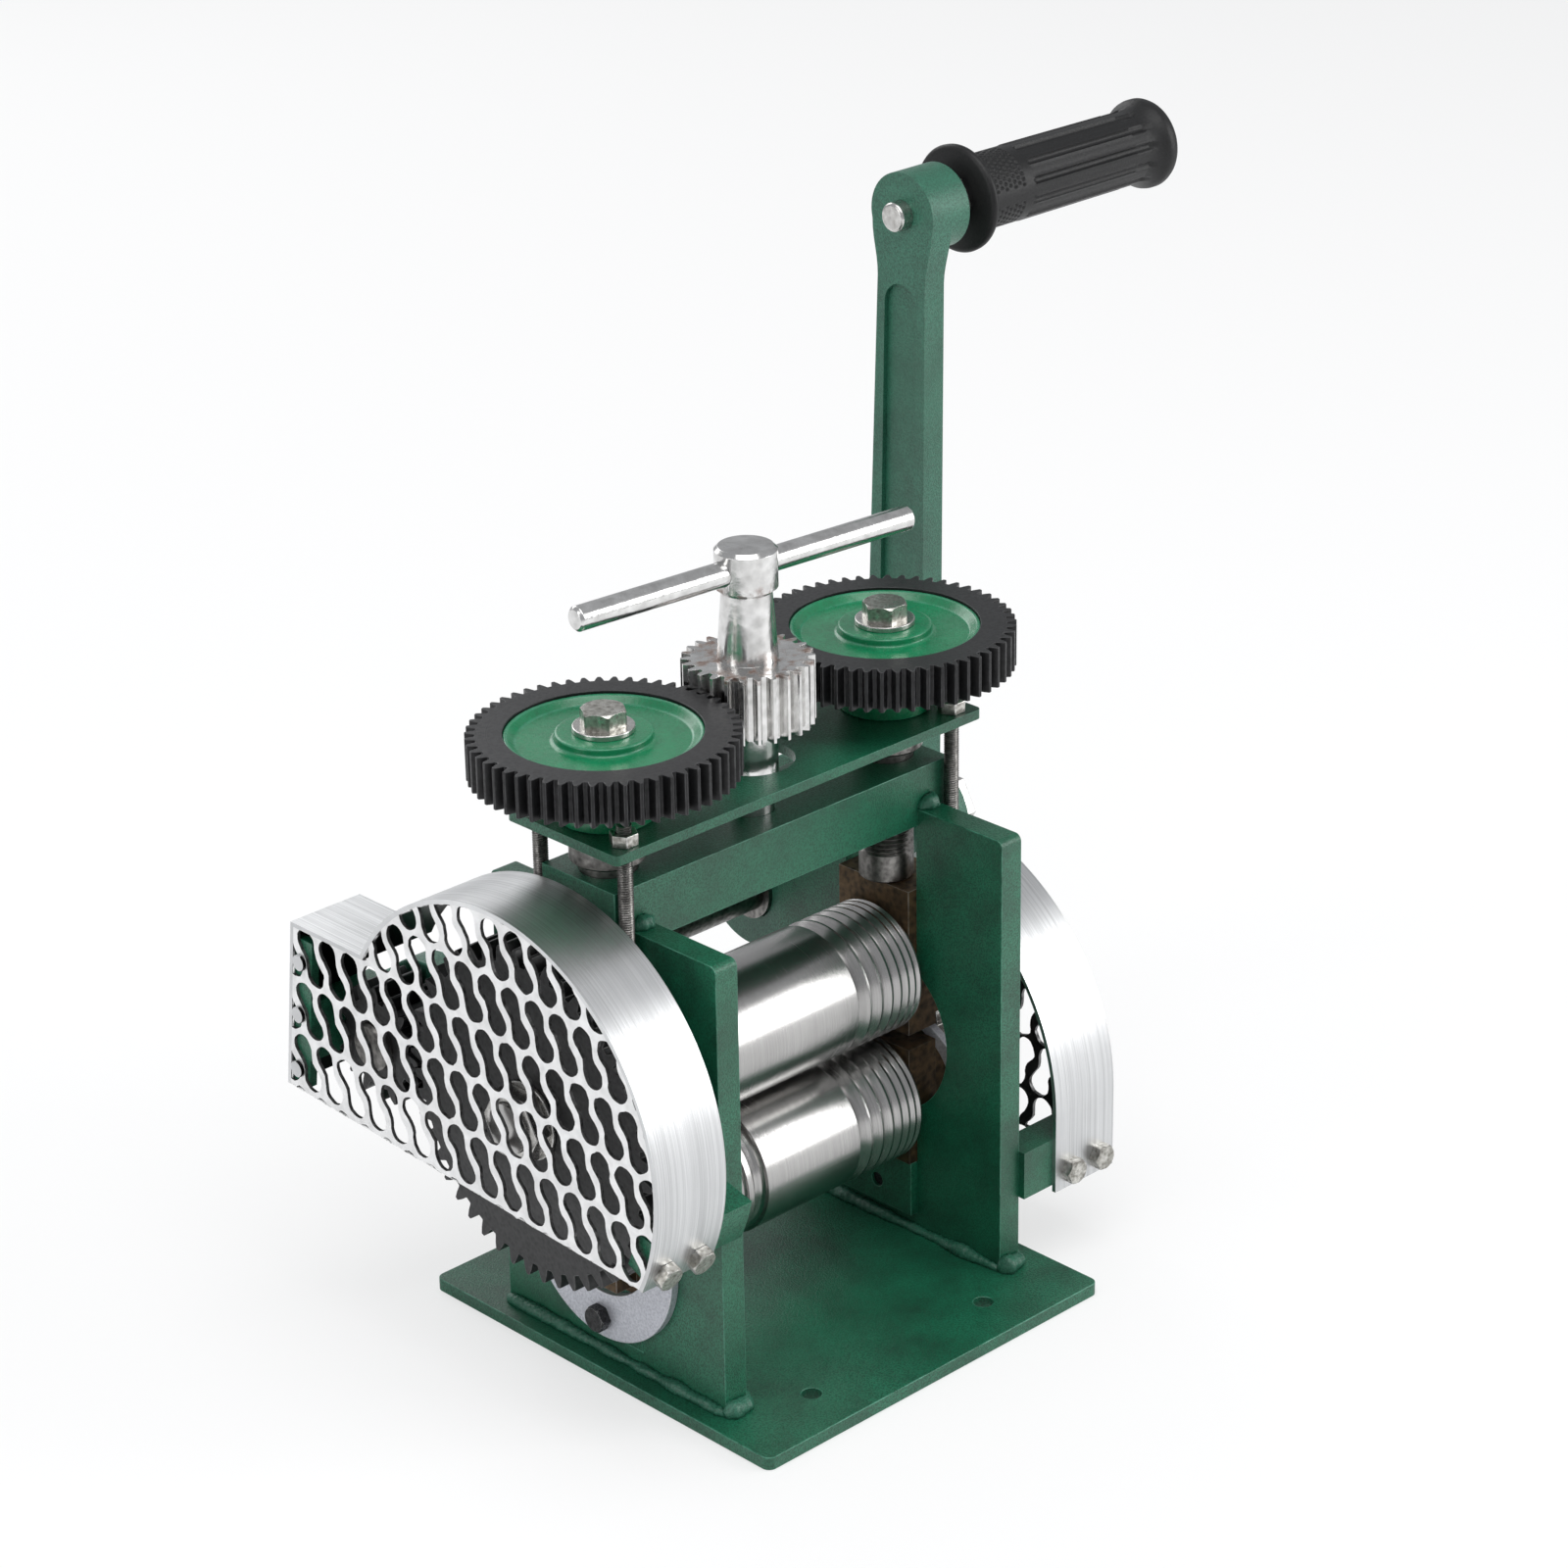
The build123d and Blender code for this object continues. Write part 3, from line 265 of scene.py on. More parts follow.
def wornEdges(tree, vector, colour, wornColour, amount):
    edge = addNode(tree, "ShaderNodeAttribute", attribute_name="edge").outputs["Fac"]
    return useGroup(tree, edgeWear, {"Colour": colour, "Worn Colour": (*wornColour, 1), "Vector": vector,
                                     "Edge": edge, "Amount": amount}).outputs["Colour"]


def objectPlace(tree):
    return tree.nodes.new("ShaderNodeTexCoord").outputs["Object"]


def startMaterial(name, centre=(0, 0, 0)):
    material = bpy.data.materials.new(name)
    material.use_nodes = True
    tree = material.node_tree
    tree.nodes.clear()
    output = tree.nodes.new("ShaderNodeOutputMaterial")
    shader = tree.nodes.new("ShaderNodeBsdfPrincipled")
    tree.links.new(shader.outputs[0], output.inputs[0])
    mapping = addNode(tree, "ShaderNodeMapping", {"Vector": objectPlace(tree),
                                                  "Location": [-c for c in centre]})
    return material, tree, shader, mapping.outputs[0]


def addBump(tree, shader, height, distance):
    bump = addNode(tree, "ShaderNodeBump", {"Height": height, "Distance": distance, "Strength": 1.0})
    tree.links.new(bump.outputs[0], shader.inputs["Normal"])


def enamel(name, base, light, dark, grain, contrast, bumpDistance, roughness, coat, wear, patches):
    # base is the broad colour; light and dark are the droplets and the hollows between them
    material, tree, shader, vector = startMaterial(name)
    dots = speckled(tree, vector, grain, contrast)
    colour = mixColours(tree, dots["Mask"], (*dark, 1), (*light, 1))
    broad = addNode(tree, "ShaderNodeTexNoise", {"Vector": vector, "Scale": 14.0, "Detail": 3.0})
    colour = mixColours(tree, spread(tree, broad.outputs["Fac"], 0.35, 0.7, 0.15, 0.75), colour, (*base, 1))
    stained = stainedBy(tree, vector, colour, (0.004, 0.012, 0.008), 55.0, patches)
    worn = wornEdges(tree, vector, stained["Colour"], (0.10, 0.33, 0.23), wear)
    tree.links.new(worn, shader.inputs["Base Color"])
    tree.links.new(spread(tree, dots["Mask"], 0, 1, roughness + 0.08, roughness - 0.06),
                   shader.inputs["Roughness"])
    shader.inputs["Coat Weight"].default_value = coat
    shader.inputs["Coat Roughness"].default_value = 0.32
    shader.inputs["IOR"].default_value = 1.5
    addBump(tree, shader, dots["Height"], bumpDistance)
    return material


def metal(name, light, dark, grain, contrast, bumpDistance, roughness, metallic=1.0,
          lineScale=None, patches=0.0, patchSize=60.0, dirtColour=(0.05, 0.045, 0.04), wear=0.0,
          paintedShadeCentre=None):
    # the last argument is a point within a hollow piece: faces that look towards it are painted near black,
    # as painted shade for the dark inside of the guard
    material, tree, shader, vector = startMaterial(name)
    coords = objectPlace(tree)
    if lineScale:
        along = addNode(tree, "ShaderNodeMapping", {"Vector": coords, "Scale": lineScale}).outputs[0]
        lines = useGroup(tree, brushing, {"Vector": along, "Lines": 1.0, "Contrast": contrast}).outputs
        tone, height = lines["Tone"], lines["Height"]
    else:
        dots = speckled(tree, vector, grain, contrast)
        tone, height = dots["Mask"], dots["Height"]
    colour = mixColours(tree, tone, (*dark, 1), (*light, 1))
    stained = stainedBy(tree, vector, colour, dirtColour, patchSize, patches)
    finalColour = wornEdges(tree, vector, stained["Colour"], (0.75, 0.75, 0.74), wear)
    if paintedShadeCentre is not None:
        fromCentre = addNode(tree, "ShaderNodeVectorMath", {0: coords, 1: tuple(paintedShadeCentre)},
                             operation="SUBTRACT").outputs[0]
        normal = addNode(tree, "ShaderNodeNewGeometry").outputs["Normal"]
        facing = addNode(tree, "ShaderNodeVectorMath", {0: fromCentre, 1: normal},
                         operation="DOT_PRODUCT").outputs["Value"]
        # painted shade: faces turned towards the point get a near-black colour in place of the shade inside
        # the guard
        finalColour = mixColours(tree, mathNode(tree, "LESS_THAN", facing, 0.0), finalColour,
                                 (0.012, 0.012, 0.012, 1))
    tree.links.new(finalColour, shader.inputs["Base Color"])
    tree.links.new(mathNode(tree, "ADD", spread(tree, tone, 0, 1, roughness + 0.07, roughness - 0.05),
                            mathNode(tree, "MULTIPLY", stained["Mask"], 0.25)),
                   shader.inputs["Roughness"])
    shader.inputs["Metallic"].default_value = metallic
    addBump(tree, shader, height, bumpDistance)
    return material


paint = enamel("greenPaint", (0.004, 0.092, 0.044), (0.016, 0.165, 0.090), (0.001, 0.045, 0.020),
               2100.0, 0.85, 0.00014, 0.40, 0.15, 0.6, 0.5)
castPaint = enamel("roughGreenCasting", (0.013, 0.115, 0.065), (0.035, 0.185, 0.118), (0.005, 0.062, 0.034),
                   2200.0, 0.6, 0.00020, 0.46, 0.2, 0.5, 0.35)
brightPaint = enamel("brightGreenCentre", (0.002, 0.185, 0.070), (0.006, 0.235, 0.098),
                     (0.001, 0.125, 0.045), 900.0, 0.35, 0.00005, 0.26, 0.3, 0.3, 0.3)
polished = metal("polishedSteel", (0.58, 0.57, 0.56), (0.30, 0.295, 0.29), 900.0, 0.5, 0.00002, 0.22,
                 lineScale=(3200, 8, 8), patches=0.2, patchSize=25.0)
zinc = metal("zincSteel", (0.70, 0.69, 0.67), (0.44, 0.43, 0.41), 600.0, 0.5, 0.00005, 0.25,
             patches=0.3, patchSize=90.0, dirtColour=(0.10, 0.085, 0.065), wear=0.3)
galvanised = metal("galvanisedPlate", (0.66, 0.67, 0.72), (0.46, 0.47, 0.52), 1500.0, 0.6, 0.00003, 0.42,
                   metallic=0.55, patches=0.1, wear=0.4)
darkSteel = metal("darkSteel", (0.30, 0.29, 0.275), (0.13, 0.125, 0.12), 700.0, 0.6, 0.00005, 0.36,
                  patches=0.5, patchSize=80.0, dirtColour=(0.02, 0.018, 0.015), wear=0.5)
bronze = metal("bronzeBlock", (0.16, 0.10, 0.05), (0.055, 0.038, 0.022), 500.0, 0.7, 0.0001, 0.46,
               metallic=0.7, patches=0.6, patchSize=70.0, dirtColour=(0.015, 0.012, 0.009), wear=0.3)
# both guard materials paint the faces that look into the guard near black, as painted shade
guardSkin, guardSkinRight = [
    metal(label, (0.84, 0.845, 0.85), (0.40, 0.405, 0.41), 500.0, 0.6, 0.00004, 0.33,
          lineScale=(1500, 9, 9), patches=0.15, patchSize=30.0, dirtColour=(0.38, 0.38, 0.38), paintedShadeCentre=place)
    for label, place in (("guardAluminiumLeft", mm(-94, 10, 100)), ("guardAluminiumRight", mm(94, 0, 80)))]
tornMetal = metal("tornMetal", (0.92, 0.92, 0.91), (0.10, 0.10, 0.10), 320.0, 1.3, 0.0003, 0.34,
                  metallic=0.8, patches=0.5, patchSize=300.0, dirtColour=(0.05, 0.05, 0.05))
guardWeb = metal("guardWebAluminium", (0.90, 0.90, 0.90), (0.72, 0.72, 0.72), 350.0, 0.4, 0.00008, 0.36,
                 metallic=0.6, patches=0.25, patchSize=60.0, dirtColour=(0.42, 0.41, 0.40))
guardCut = metal("guardCutEdge", (0.20, 0.20, 0.20), (0.05, 0.05, 0.05), 600.0, 0.8, 0.0001, 0.45,
                 metallic=0.8, patches=0.4)

blackBolt = metal("blackBolt", (0.05, 0.05, 0.052), (0.012, 0.012, 0.013), 900.0, 0.6, 0.00005, 0.28,
                  metallic=0.7, patches=0.2, wear=0.6)


def gearBlack(name, centre):
    # turned faces show fine rings round the gear's own axis, and the tooth tips are rubbed grey
    material, tree, shader, vector = startMaterial(name, centre)
    dots = speckled(tree, vector, 900.0, 0.6)
    flat = addNode(tree, "ShaderNodeVectorMath", {0: vector, 1: (1, 1, 0)}, operation="MULTIPLY").outputs[0]
    radius = addNode(tree, "ShaderNodeVectorMath", {0: flat}, operation="LENGTH").outputs["Value"]
    ringPlace = addNode(tree, "ShaderNodeCombineXYZ", {"X": mathNode(tree, "MULTIPLY", radius, 2600.0)})
    rings = addNode(tree, "ShaderNodeTexNoise", {"Vector": ringPlace.outputs[0], "Scale": 1.0, "Detail": 3.0})
    normal = addNode(tree, "ShaderNodeNewGeometry").outputs["Normal"]
    upward = addNode(tree, "ShaderNodeSeparateXYZ", {0: normal}).outputs["Z"]
    face = spread(tree, upward, 0.7, 0.95)
    colour = mixColours(tree, dots["Mask"], (0.003, 0.003, 0.0033, 1), (0.009, 0.009, 0.010, 1))
    turnedTone = mixColours(tree, rings.outputs["Fac"], (0.004, 0.004, 0.0045, 1),
                            (0.030, 0.030, 0.032, 1))
    colour = mixColours(tree, mathNode(tree, "MULTIPLY", face, 0.85), colour, turnedTone)
    worn = wornEdges(tree, vector, colour, (0.10, 0.10, 0.105), 0.4)
    tree.links.new(worn, shader.inputs["Base Color"])
    tree.links.new(spread(tree, dots["Mask"], 0, 1, 0.5, 0.36), shader.inputs["Roughness"])
    shader.inputs["Metallic"].default_value = 0.1
    shader.inputs["Specular IOR Level"].default_value = 0.4
    turning = mathNode(tree, "MULTIPLY", rings.outputs["Fac"], face)
    height = mathNode(tree, "ADD", mathNode(tree, "MULTIPLY", dots["Height"], 0.5),
                      mathNode(tree, "MULTIPLY", turning, 0.8))
    addBump(tree, shader, height, 0.00006)
    return material


# heights in metres between which the rust at the foot of the neck and at the bar's seat comes and goes
footRust = (0.2225, 0.2235, 0.2235, 0.2300)
seatRust = (0.2455, 0.2475, 0.2480, 0.2510)


def zincHandleMaterial():
    # bright zinc with a rusty run at the foot of the neck and round the bar's seat
    material, tree, shader, vector = startMaterial("zincHandle", mm(0, 0, 0))
    dots = speckled(tree, vector, 420.0, 0.5)
    colour = mixColours(tree, dots["Mask"], (0.58, 0.575, 0.565, 1), (0.80, 0.795, 0.785, 1))
    stained = stainedBy(tree, vector, colour, (0.16, 0.15, 0.14), 70.0, 0.3)
    upward = addNode(tree, "ShaderNodeSeparateXYZ", {0: objectPlace(tree)}).outputs["Z"]
    rusty = addNode(tree, "ShaderNodeTexNoise", {"Vector": vector, "Scale": 260.0, "Detail": 5.0})
    bands = [mathNode(tree, "MULTIPLY", spread(tree, upward, a, b), spread(tree, upward, c, d, 1.0, 0.0))
             for a, b, c, d in (footRust, seatRust)]
    mask = mathNode(tree, "MULTIPLY", mathNode(tree, "ADD", *bands),
                    spread(tree, rusty.outputs["Fac"], 0.48, 0.66))
    rust = mixColours(tree, mathNode(tree, "MULTIPLY", mask, 0.8), stained["Colour"],
                      (0.16, 0.055, 0.02, 1))
    worn = wornEdges(tree, vector, rust, (0.85, 0.85, 0.84), 0.4)
    tree.links.new(worn, shader.inputs["Base Color"])
    tree.links.new(mathNode(tree, "ADD", spread(tree, dots["Mask"], 0, 1, 0.24, 0.14),
                            mathNode(tree, "MULTIPLY", mask, 0.4)), shader.inputs["Roughness"])
    shader.inputs["Metallic"].default_value = 1.0
    addBump(tree, shader, dots["Height"], 0.00006)
    return material


def rubberMaterial():
    material, tree, shader, vector = startMaterial("gripRubber")
    dots = speckled(tree, vector, 1800.0, 0.5)
    colour = mixColours(tree, dots["Mask"], (0.0035, 0.0035, 0.0038, 1), (0.009, 0.009, 0.0095, 1))
    dusty = stainedBy(tree, vector, colour, (0.018, 0.018, 0.018), 45.0, 0.3)
    tree.links.new(dusty["Colour"], shader.inputs["Base Color"])
    tree.links.new(spread(tree, dots["Mask"], 0, 1, 0.52, 0.42), shader.inputs["Roughness"])
    shader.inputs["Specular IOR Level"].default_value = 0.35
    addBump(tree, shader, dots["Height"], 0.00005)
    return material


zincHandle, rubber = zincHandleMaterial(), rubberMaterial()
blackLeft = gearBlack("gearBlackLeft", mm(-60, 0, 0))
blackRight = gearBlack("gearBlackRight", mm(60, 0, 0))
blackRoller = metal("rollerGearBlack", (0.016, 0.016, 0.017), (0.004, 0.004, 0.0045), 800.0, 0.6, 0.00006,
                    0.34, metallic=0.15, patches=0.3, dirtColour=(0.003, 0.003, 0.003), wear=0.1)
boltSteel = metal("boltSteel", (0.62, 0.61, 0.57), (0.26, 0.25, 0.225), 900.0, 0.7, 0.00006, 0.30,
                  patches=0.55, patchSize=260.0, dirtColour=(0.06, 0.05, 0.035), wear=0.5)

floorMaterial = bpy.data.materials.new("paleFloor")
floorMaterial.use_nodes = True
floorTree = floorMaterial.node_tree
floorShader = floorTree.nodes["Principled BSDF"]
floorShader.inputs["Base Color"].default_value = (0.90, 0.90, 0.90, 1)
floorShader.inputs["Roughness"].default_value = 0.85
floorShader.inputs["Specular IOR Level"].default_value = 0.1
floorRays = floorTree.nodes.new("ShaderNodeLightPath")
floorGlow = addNode(floorTree, "ShaderNodeEmission", {"Color": (1, 1, 1, 1), "Strength": 1.0})
floorMix = addNode(floorTree, "ShaderNodeMixShader", {
    0: mathNode(floorTree, "MULTIPLY", floorRays.outputs["Is Camera Ray"], 0.62),
    1: floorShader.outputs[0], 2: floorGlow.outputs[0]})
floorTree.links.new(floorMix.outputs[0], floorTree.nodes["Material Output"].inputs[0])

slotMaterials = {
    "green_paint": paint, "rough_green_casting": castPaint, "bright_green_centre": brightPaint,
    "polished_steel": polished, "zinc_steel": zinc, "galvanised_plate": galvanised,
    "dark_steel": darkSteel, "black_gear": blackRoller, "bronze_block": bronze,
    "guard_aluminium": guardSkin, "grip_rubber": rubber,
}
print("materials built")


# which finish each node has in the record
slotOf = {}
for name, nodeObject in nodeObjects.items():
    held = [m.name.split(".")[0] for m in nodeObject.data.materials if m]
    slotOf[name] = held[0] if held and held[0] in slotMaterials else None
own = {"adjusting_gear_left": blackLeft, "adjusting_gear_right": blackRight,
       "adjuster_spindle": zincHandle, "t_bar": zincHandle, "drive_pinion": blackRoller,
       "small_hex_bolts": boltSteel, "gear_bolt_left": boltSteel, "gear_bolt_right": boltSteel,
       "stud_nuts": boltSteel, "guard_band_right": guardSkinRight, "guard_sheet_right": guardSkinRight}


def finishOf(name):
    return own.get(name) or slotMaterials.get(slotOf[name]) or zinc


for name, nodeObject in nodeObjects.items():
    nodeObject.data.materials.clear()
    nodeObject.data.materials.append(finishOf(name))
print("finishes set")


# softened copies of the plates, castings and gears

def settle(piece, node, material=None):
    # give a finished piece its material, slot and body, and the node that it stands for
    if material is not None:
        piece.data.materials.clear()
        piece.data.materials.append(material)
    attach(piece, bodyOf[node])
    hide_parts(node)
    return piece


def linkMesh(name, mesh):
    piece = bpy.data.objects.new(name, mesh)
    scene.collection.objects.link(piece)
    return piece


def bakeModifiers(piece):
    # the evaluated shape as a plain mesh, with no modifier left on the object
    graph = bpy.context.evaluated_depsgraph_get()
    mesh = bpy.data.meshes.new_from_object(piece.evaluated_get(graph))
    piece.modifiers.clear()
    piece.data = mesh


def smoothMesh(name, work):
    # the bmesh written out as a mesh with smooth faces
    for face in work.faces:
        face.smooth = True
    mesh = bpy.data.meshes.new(name)
    work.to_mesh(mesh)
    return mesh


bevelSegments = 3
sharpAngle = 32.0         # degrees: edges beyond it are rounded
creaseAngle = 40.0        # degrees: edges beyond it stay sharp in the shading


def softened(node, width):
    work = bmesh.new()
    work.from_mesh(nodeObjects[node].data)
    bmesh.ops.remove_doubles(work, verts=work.verts, dist=2e-6)
    if node not in latheNodes:
        bmesh.ops.dissolve_limit(work, angle_limit=math.radians(0.6), verts=work.verts, edges=work.edges)
    limit = math.radians(sharpAngle)
    sharp = [e for e in work.edges if len(e.link_faces) == 2 and e.calc_face_angle(0) > limit]
    flag = work.faces.layers.int.new("rounded")
    made = bmesh.ops.bevel(work, geom=sharp, offset=width / 1000, offset_type="OFFSET",
                           segments=bevelSegments, profile=0.6, affect="EDGES",
                           clamp_overlap=node not in latheNodes)
    bmesh.ops.triangulate(work, faces=[f for f in work.faces if len(f.verts) > 12])
    for face in made["faces"]:
        face[flag] = 1
    mesh = smoothMesh("soft_" + node, work)
    flags = np.array([f[flag] for f in work.faces], float)
    work.free()
    edge = mesh.attributes.new("edge", "FLOAT", "CORNER")
    totals = np.empty(len(mesh.polygons), np.int32)
    mesh.polygons.foreach_get("loop_total", totals)
    edge.data.foreach_set("value", np.repeat(flags, totals))
    mesh.attributes.remove(mesh.attributes["rounded"])
    mesh.set_sharp_from_angle(angle=math.radians(creaseAngle))
    piece = linkMesh(mesh.name, mesh)
    weighted = piece.modifiers.new("evenNormals", "WEIGHTED_NORMAL")
    weighted.keep_sharp = True
    bakeModifiers(piece)
    return settle(piece, node, finishOf(node))


# widths in mm of the rounded edges
softEdges = {
    "base_plate": 0.7, "side_plate_left": 0.8, "side_plate_right": 0.8, "cross_beam": 0.9,
    "lift_plate": 0.5, "crank_arm": 1.1, "crank_lug_left": 0.9, "crank_lug_right": 0.9,
    "block_support_left": 0.6, "block_support_right": 0.6,
    "guard_bracket_left_front": 0.8, "guard_bracket_left_back": 0.8, "guard_brackets_right": 0.8,
    "bearing_block_lower_left": 0.5, "bearing_block_lower_right": 0.5,
    "bearing_block_upper_left": 0.5, "bearing_block_upper_right": 0.5,
    "adjusting_gear_left": 0.22, "adjusting_gear_right": 0.22, "drive_gear": 0.25, "drive_pinion": 0.25,
    "sync_gear_upper": 0.3, "sync_gear_lower": 0.3, "gear_centre_left": 0.5, "gear_centre_right": 0.5,
    "adjuster_spindle": 0.25, "t_bar": 0.2, "retainer_left": 0.3, "retainer_right": 0.3,
    "gear_bolt_left": 0.35, "gear_bolt_right": 0.35, "gear_washer_left": 0.4, "gear_washer_right": 0.4,
    "stud_nuts": 0.3, "roller_nuts_upper": 0.5, "roller_nuts_lower": 0.5, "crank_nut": 0.5,
    "spindle_nut": 0.4, "shaft_collar": 0.5, "small_hex_bolts": 0.3, "guard_rivets": 0.3,
    "grip_spindle": 0.4,
}
latheNodes = ("gear_centre_left", "gear_centre_right")
soft = {node: softened(node, width) for node, width in softEdges.items()}

# the two bolts of the retainer discs, the lowest ones, are blackened
blackBoltTop = 0.025
boltMesh = soft["small_hex_bolts"].data
boltMesh.materials.append(blackBolt)
for face in boltMesh.polygons:
    if face.center.z < blackBoltTop:
        face.material_index = 1

print("softened pieces:", len(softEdges))


# geometry-node trees

def nodesTree(name, inputs):
    tree = bpy.data.node_groups.new(name, "GeometryNodeTree")
    tree.interface.new_socket("Geometry", in_out="INPUT", socket_type="NodeSocketGeometry")
    for label, kind, value in inputs:
        item = tree.interface.new_socket(label, in_out="INPUT", socket_type="NodeSocket" + kind)
        if value is not None:
            item.default_value = value
    tree.interface.new_socket("Geometry", in_out="OUTPUT", socket_type="NodeSocketGeometry")
    return tree, tree.nodes.new("NodeGroupInput").outputs, tree.nodes.new("NodeGroupOutput")


def runTree(piece, tree, values):
    modifier = piece.modifiers.new(tree.name, "NODES")
    modifier.node_group = tree
    for item in tree.interface.items_tree:
        if item.item_type == "SOCKET" and item.in_out == "INPUT" and item.name in values:
            modifier[item.identifier] = values[item.name]
    bakeModifiers(piece)


def combine(tree, x, y, z):
    return addNode(tree, "ShaderNodeCombineXYZ", {0: x, 1: y, 2: z}).outputs[0]


def separate(tree, vector):
    return addNode(tree, "ShaderNodeSeparateXYZ", {0: vector}).outputs


def pointPlace(tree):
    return separate(tree, tree.nodes.new("GeometryNodeInputPosition").outputs[0])


def realized(tree, geometry):
    return addNode(tree, "GeometryNodeRealizeInstances", {0: geometry}).outputs[0]


def movedTo(tree, geometry, position):
    return addNode(tree, "GeometryNodeSetPosition",
                   {"Geometry": geometry, "Position": position}).outputs[0]


def perforatedTree():
    # the input sheet, cut by a leaning lattice of waisted holes
    tree, take, give = nodesTree("perforatedSheet", [
        ("Row Pitch", "Float", 0.0107), ("Row Rise", "Float", 0.0006),
        ("Column Pitch", "Float", 0.0194), ("Column Shift", "Float", 0.00245),
        ("Columns", "Int", 25), ("Rows", "Int", 11),
        ("Lobe Radius", "Float", 0.0044), ("Waist", "Float", 0.0022), ("Lobe Offset", "Float", 0.00556),
        ("Lean", "Float", -0.387), ("Grid Centre", "Vector", None), ("Raggedness", "Float", 0.0006),
        ("Cutter Height", "Float", 0.008), ("Web", "Material", None), ("Cut", "Material", None)])

    def calc(operation, *values):
        return mathNode(tree, operation, *values)

    grid = addNode(tree, "GeometryNodeMeshGrid", {
        "Size X": calc("MULTIPLY", calc("SUBTRACT", take["Columns"], 1.0), take["Row Pitch"]),
        "Size Y": calc("MULTIPLY", calc("SUBTRACT", take["Rows"], 1.0), take["Column Pitch"]),
        "Vertices X": take["Columns"], "Vertices Y": take["Rows"]}).outputs["Mesh"]
    at = pointPlace(tree)
    shiftPerRise = calc("DIVIDE", take["Column Shift"], take["Column Pitch"])
    risePerRun = calc("DIVIDE", take["Row Rise"], take["Row Pitch"])
    slideX = calc("SUBTRACT", at[0], calc("MULTIPLY", at[1], shiftPerRise))
    slideY = calc("ADD", at[1], calc("MULTIPLY", at[0], risePerRun))
    points = movedTo(tree, grid, combine(tree, slideX, slideY, 0.0))

    # one hole: two round lobes joined by a waist
    circle = addNode(tree, "GeometryNodeCurvePrimitiveCircle", {"Resolution": 40, "Radius": 1.0}).outputs[0]
    on = pointPlace(tree)
    height = calc("MULTIPLY", on[1], calc("ADD", take["Lobe Offset"], take["Lobe Radius"]))
    far = calc("ABSOLUTE", height)
    swing = calc("COSINE", calc("MULTIPLY", math.pi, calc("DIVIDE", far, take["Lobe Offset"])))
    widening = calc("SUBTRACT", take["Lobe Radius"], take["Waist"])
    waist = calc("ADD", take["Waist"], calc("MULTIPLY", widening, calc("MULTIPLY_ADD", swing, -0.5, 0.5)))
    beyond = calc("SUBTRACT", far, take["Lobe Offset"])
    lobe = calc("SQRT", calc("MAXIMUM", 0.0, calc(
        "SUBTRACT", calc("POWER", take["Lobe Radius"], 2.0), calc("POWER", beyond, 2.0))))
    pastLobe = calc("GREATER_THAN", far, take["Lobe Offset"])
    half = calc("ADD", calc("MULTIPLY", waist, calc("SUBTRACT", 1.0, pastLobe)),
                calc("MULTIPLY", lobe, pastLobe))
    across = calc("MULTIPLY", half, calc("SIGN", on[0]))
    hole = movedTo(tree, circle, combine(tree, across, height, 0.0))
    face = addNode(tree, "GeometryNodeFillCurve", {"Curve": hole}, mode="NGONS").outputs[0]
    tall = addNode(tree, "GeometryNodeExtrudeMesh", {"Mesh": face, "Offset Scale": take["Cutter Height"]},
                   mode="FACES").outputs[0]
    bottom = addNode(tree, "GeometryNodeFlipFaces", {"Mesh": face}).outputs[0]
    joined = tree.nodes.new("GeometryNodeJoinGeometry")
    tree.links.new(tall, joined.inputs[0])
    tree.links.new(bottom, joined.inputs[0])
    welded = addNode(tree, "GeometryNodeMergeByDistance",
                     {"Geometry": joined.outputs[0], "Distance": 1e-6}).outputs[0]
    halfDown = combine(tree, 0.0, 0.0, calc("MULTIPLY", take["Cutter Height"], -0.5))
    cutter = addNode(tree, "GeometryNodeTransform", {"Geometry": welded, "Translation": halfDown}).outputs[0]

    # the lattice of cutters, a little ragged, turned to stand along X
    placed = addNode(tree, "GeometryNodeInstanceOnPoints", {
        "Points": points, "Instance": cutter, "Rotation": combine(tree, 0.0, 0.0, take["Lean"])}).outputs[0]
    solid = realized(tree, placed)
    here = pointPlace(tree)
    wobble = addNode(tree, "ShaderNodeTexNoise", {"Vector": combine(tree, here[0], here[1], 0.0),
                                                  "Scale": 260.0, "Detail": 2.0})
    drift = separate(tree, wobble.outputs["Color"])
    amount = calc("MULTIPLY", take["Raggedness"], 2.0)
    swayed = [calc("MULTIPLY_ADD", calc("SUBTRACT", drift[k], 0.5), amount, here[k]) for k in (0, 1)]
    rough = movedTo(tree, solid, combine(tree, *swayed, here[2]))
    local = pointPlace(tree)
    turned = movedTo(tree, rough, addNode(tree, "ShaderNodeVectorMath", {
        0: combine(tree, local[2], local[0], local[1]), 1: take["Grid Centre"]}, operation="ADD").outputs[0])
    cut = addNode(tree, "GeometryNodeMeshBoolean", {0: take["Geometry"], 1: turned},
                  operation="DIFFERENCE", solver="EXACT")
    webbed = addNode(tree, "GeometryNodeSetMaterial",
                     {"Geometry": cut.outputs[0], "Material": take["Web"]}).outputs[0]
    facing = separate(tree, tree.nodes.new("GeometryNodeInputNormal").outputs[0])
    wall = calc("LESS_THAN", calc("ABSOLUTE", facing[0]), 0.6)
    edged = addNode(tree, "GeometryNodeSetMaterial", {"Geometry": webbed, "Selection": wall,
                                                      "Material": take["Cut"]}).outputs[0]
    tree.links.new(realized(tree, edged), give.inputs[0])
    return tree


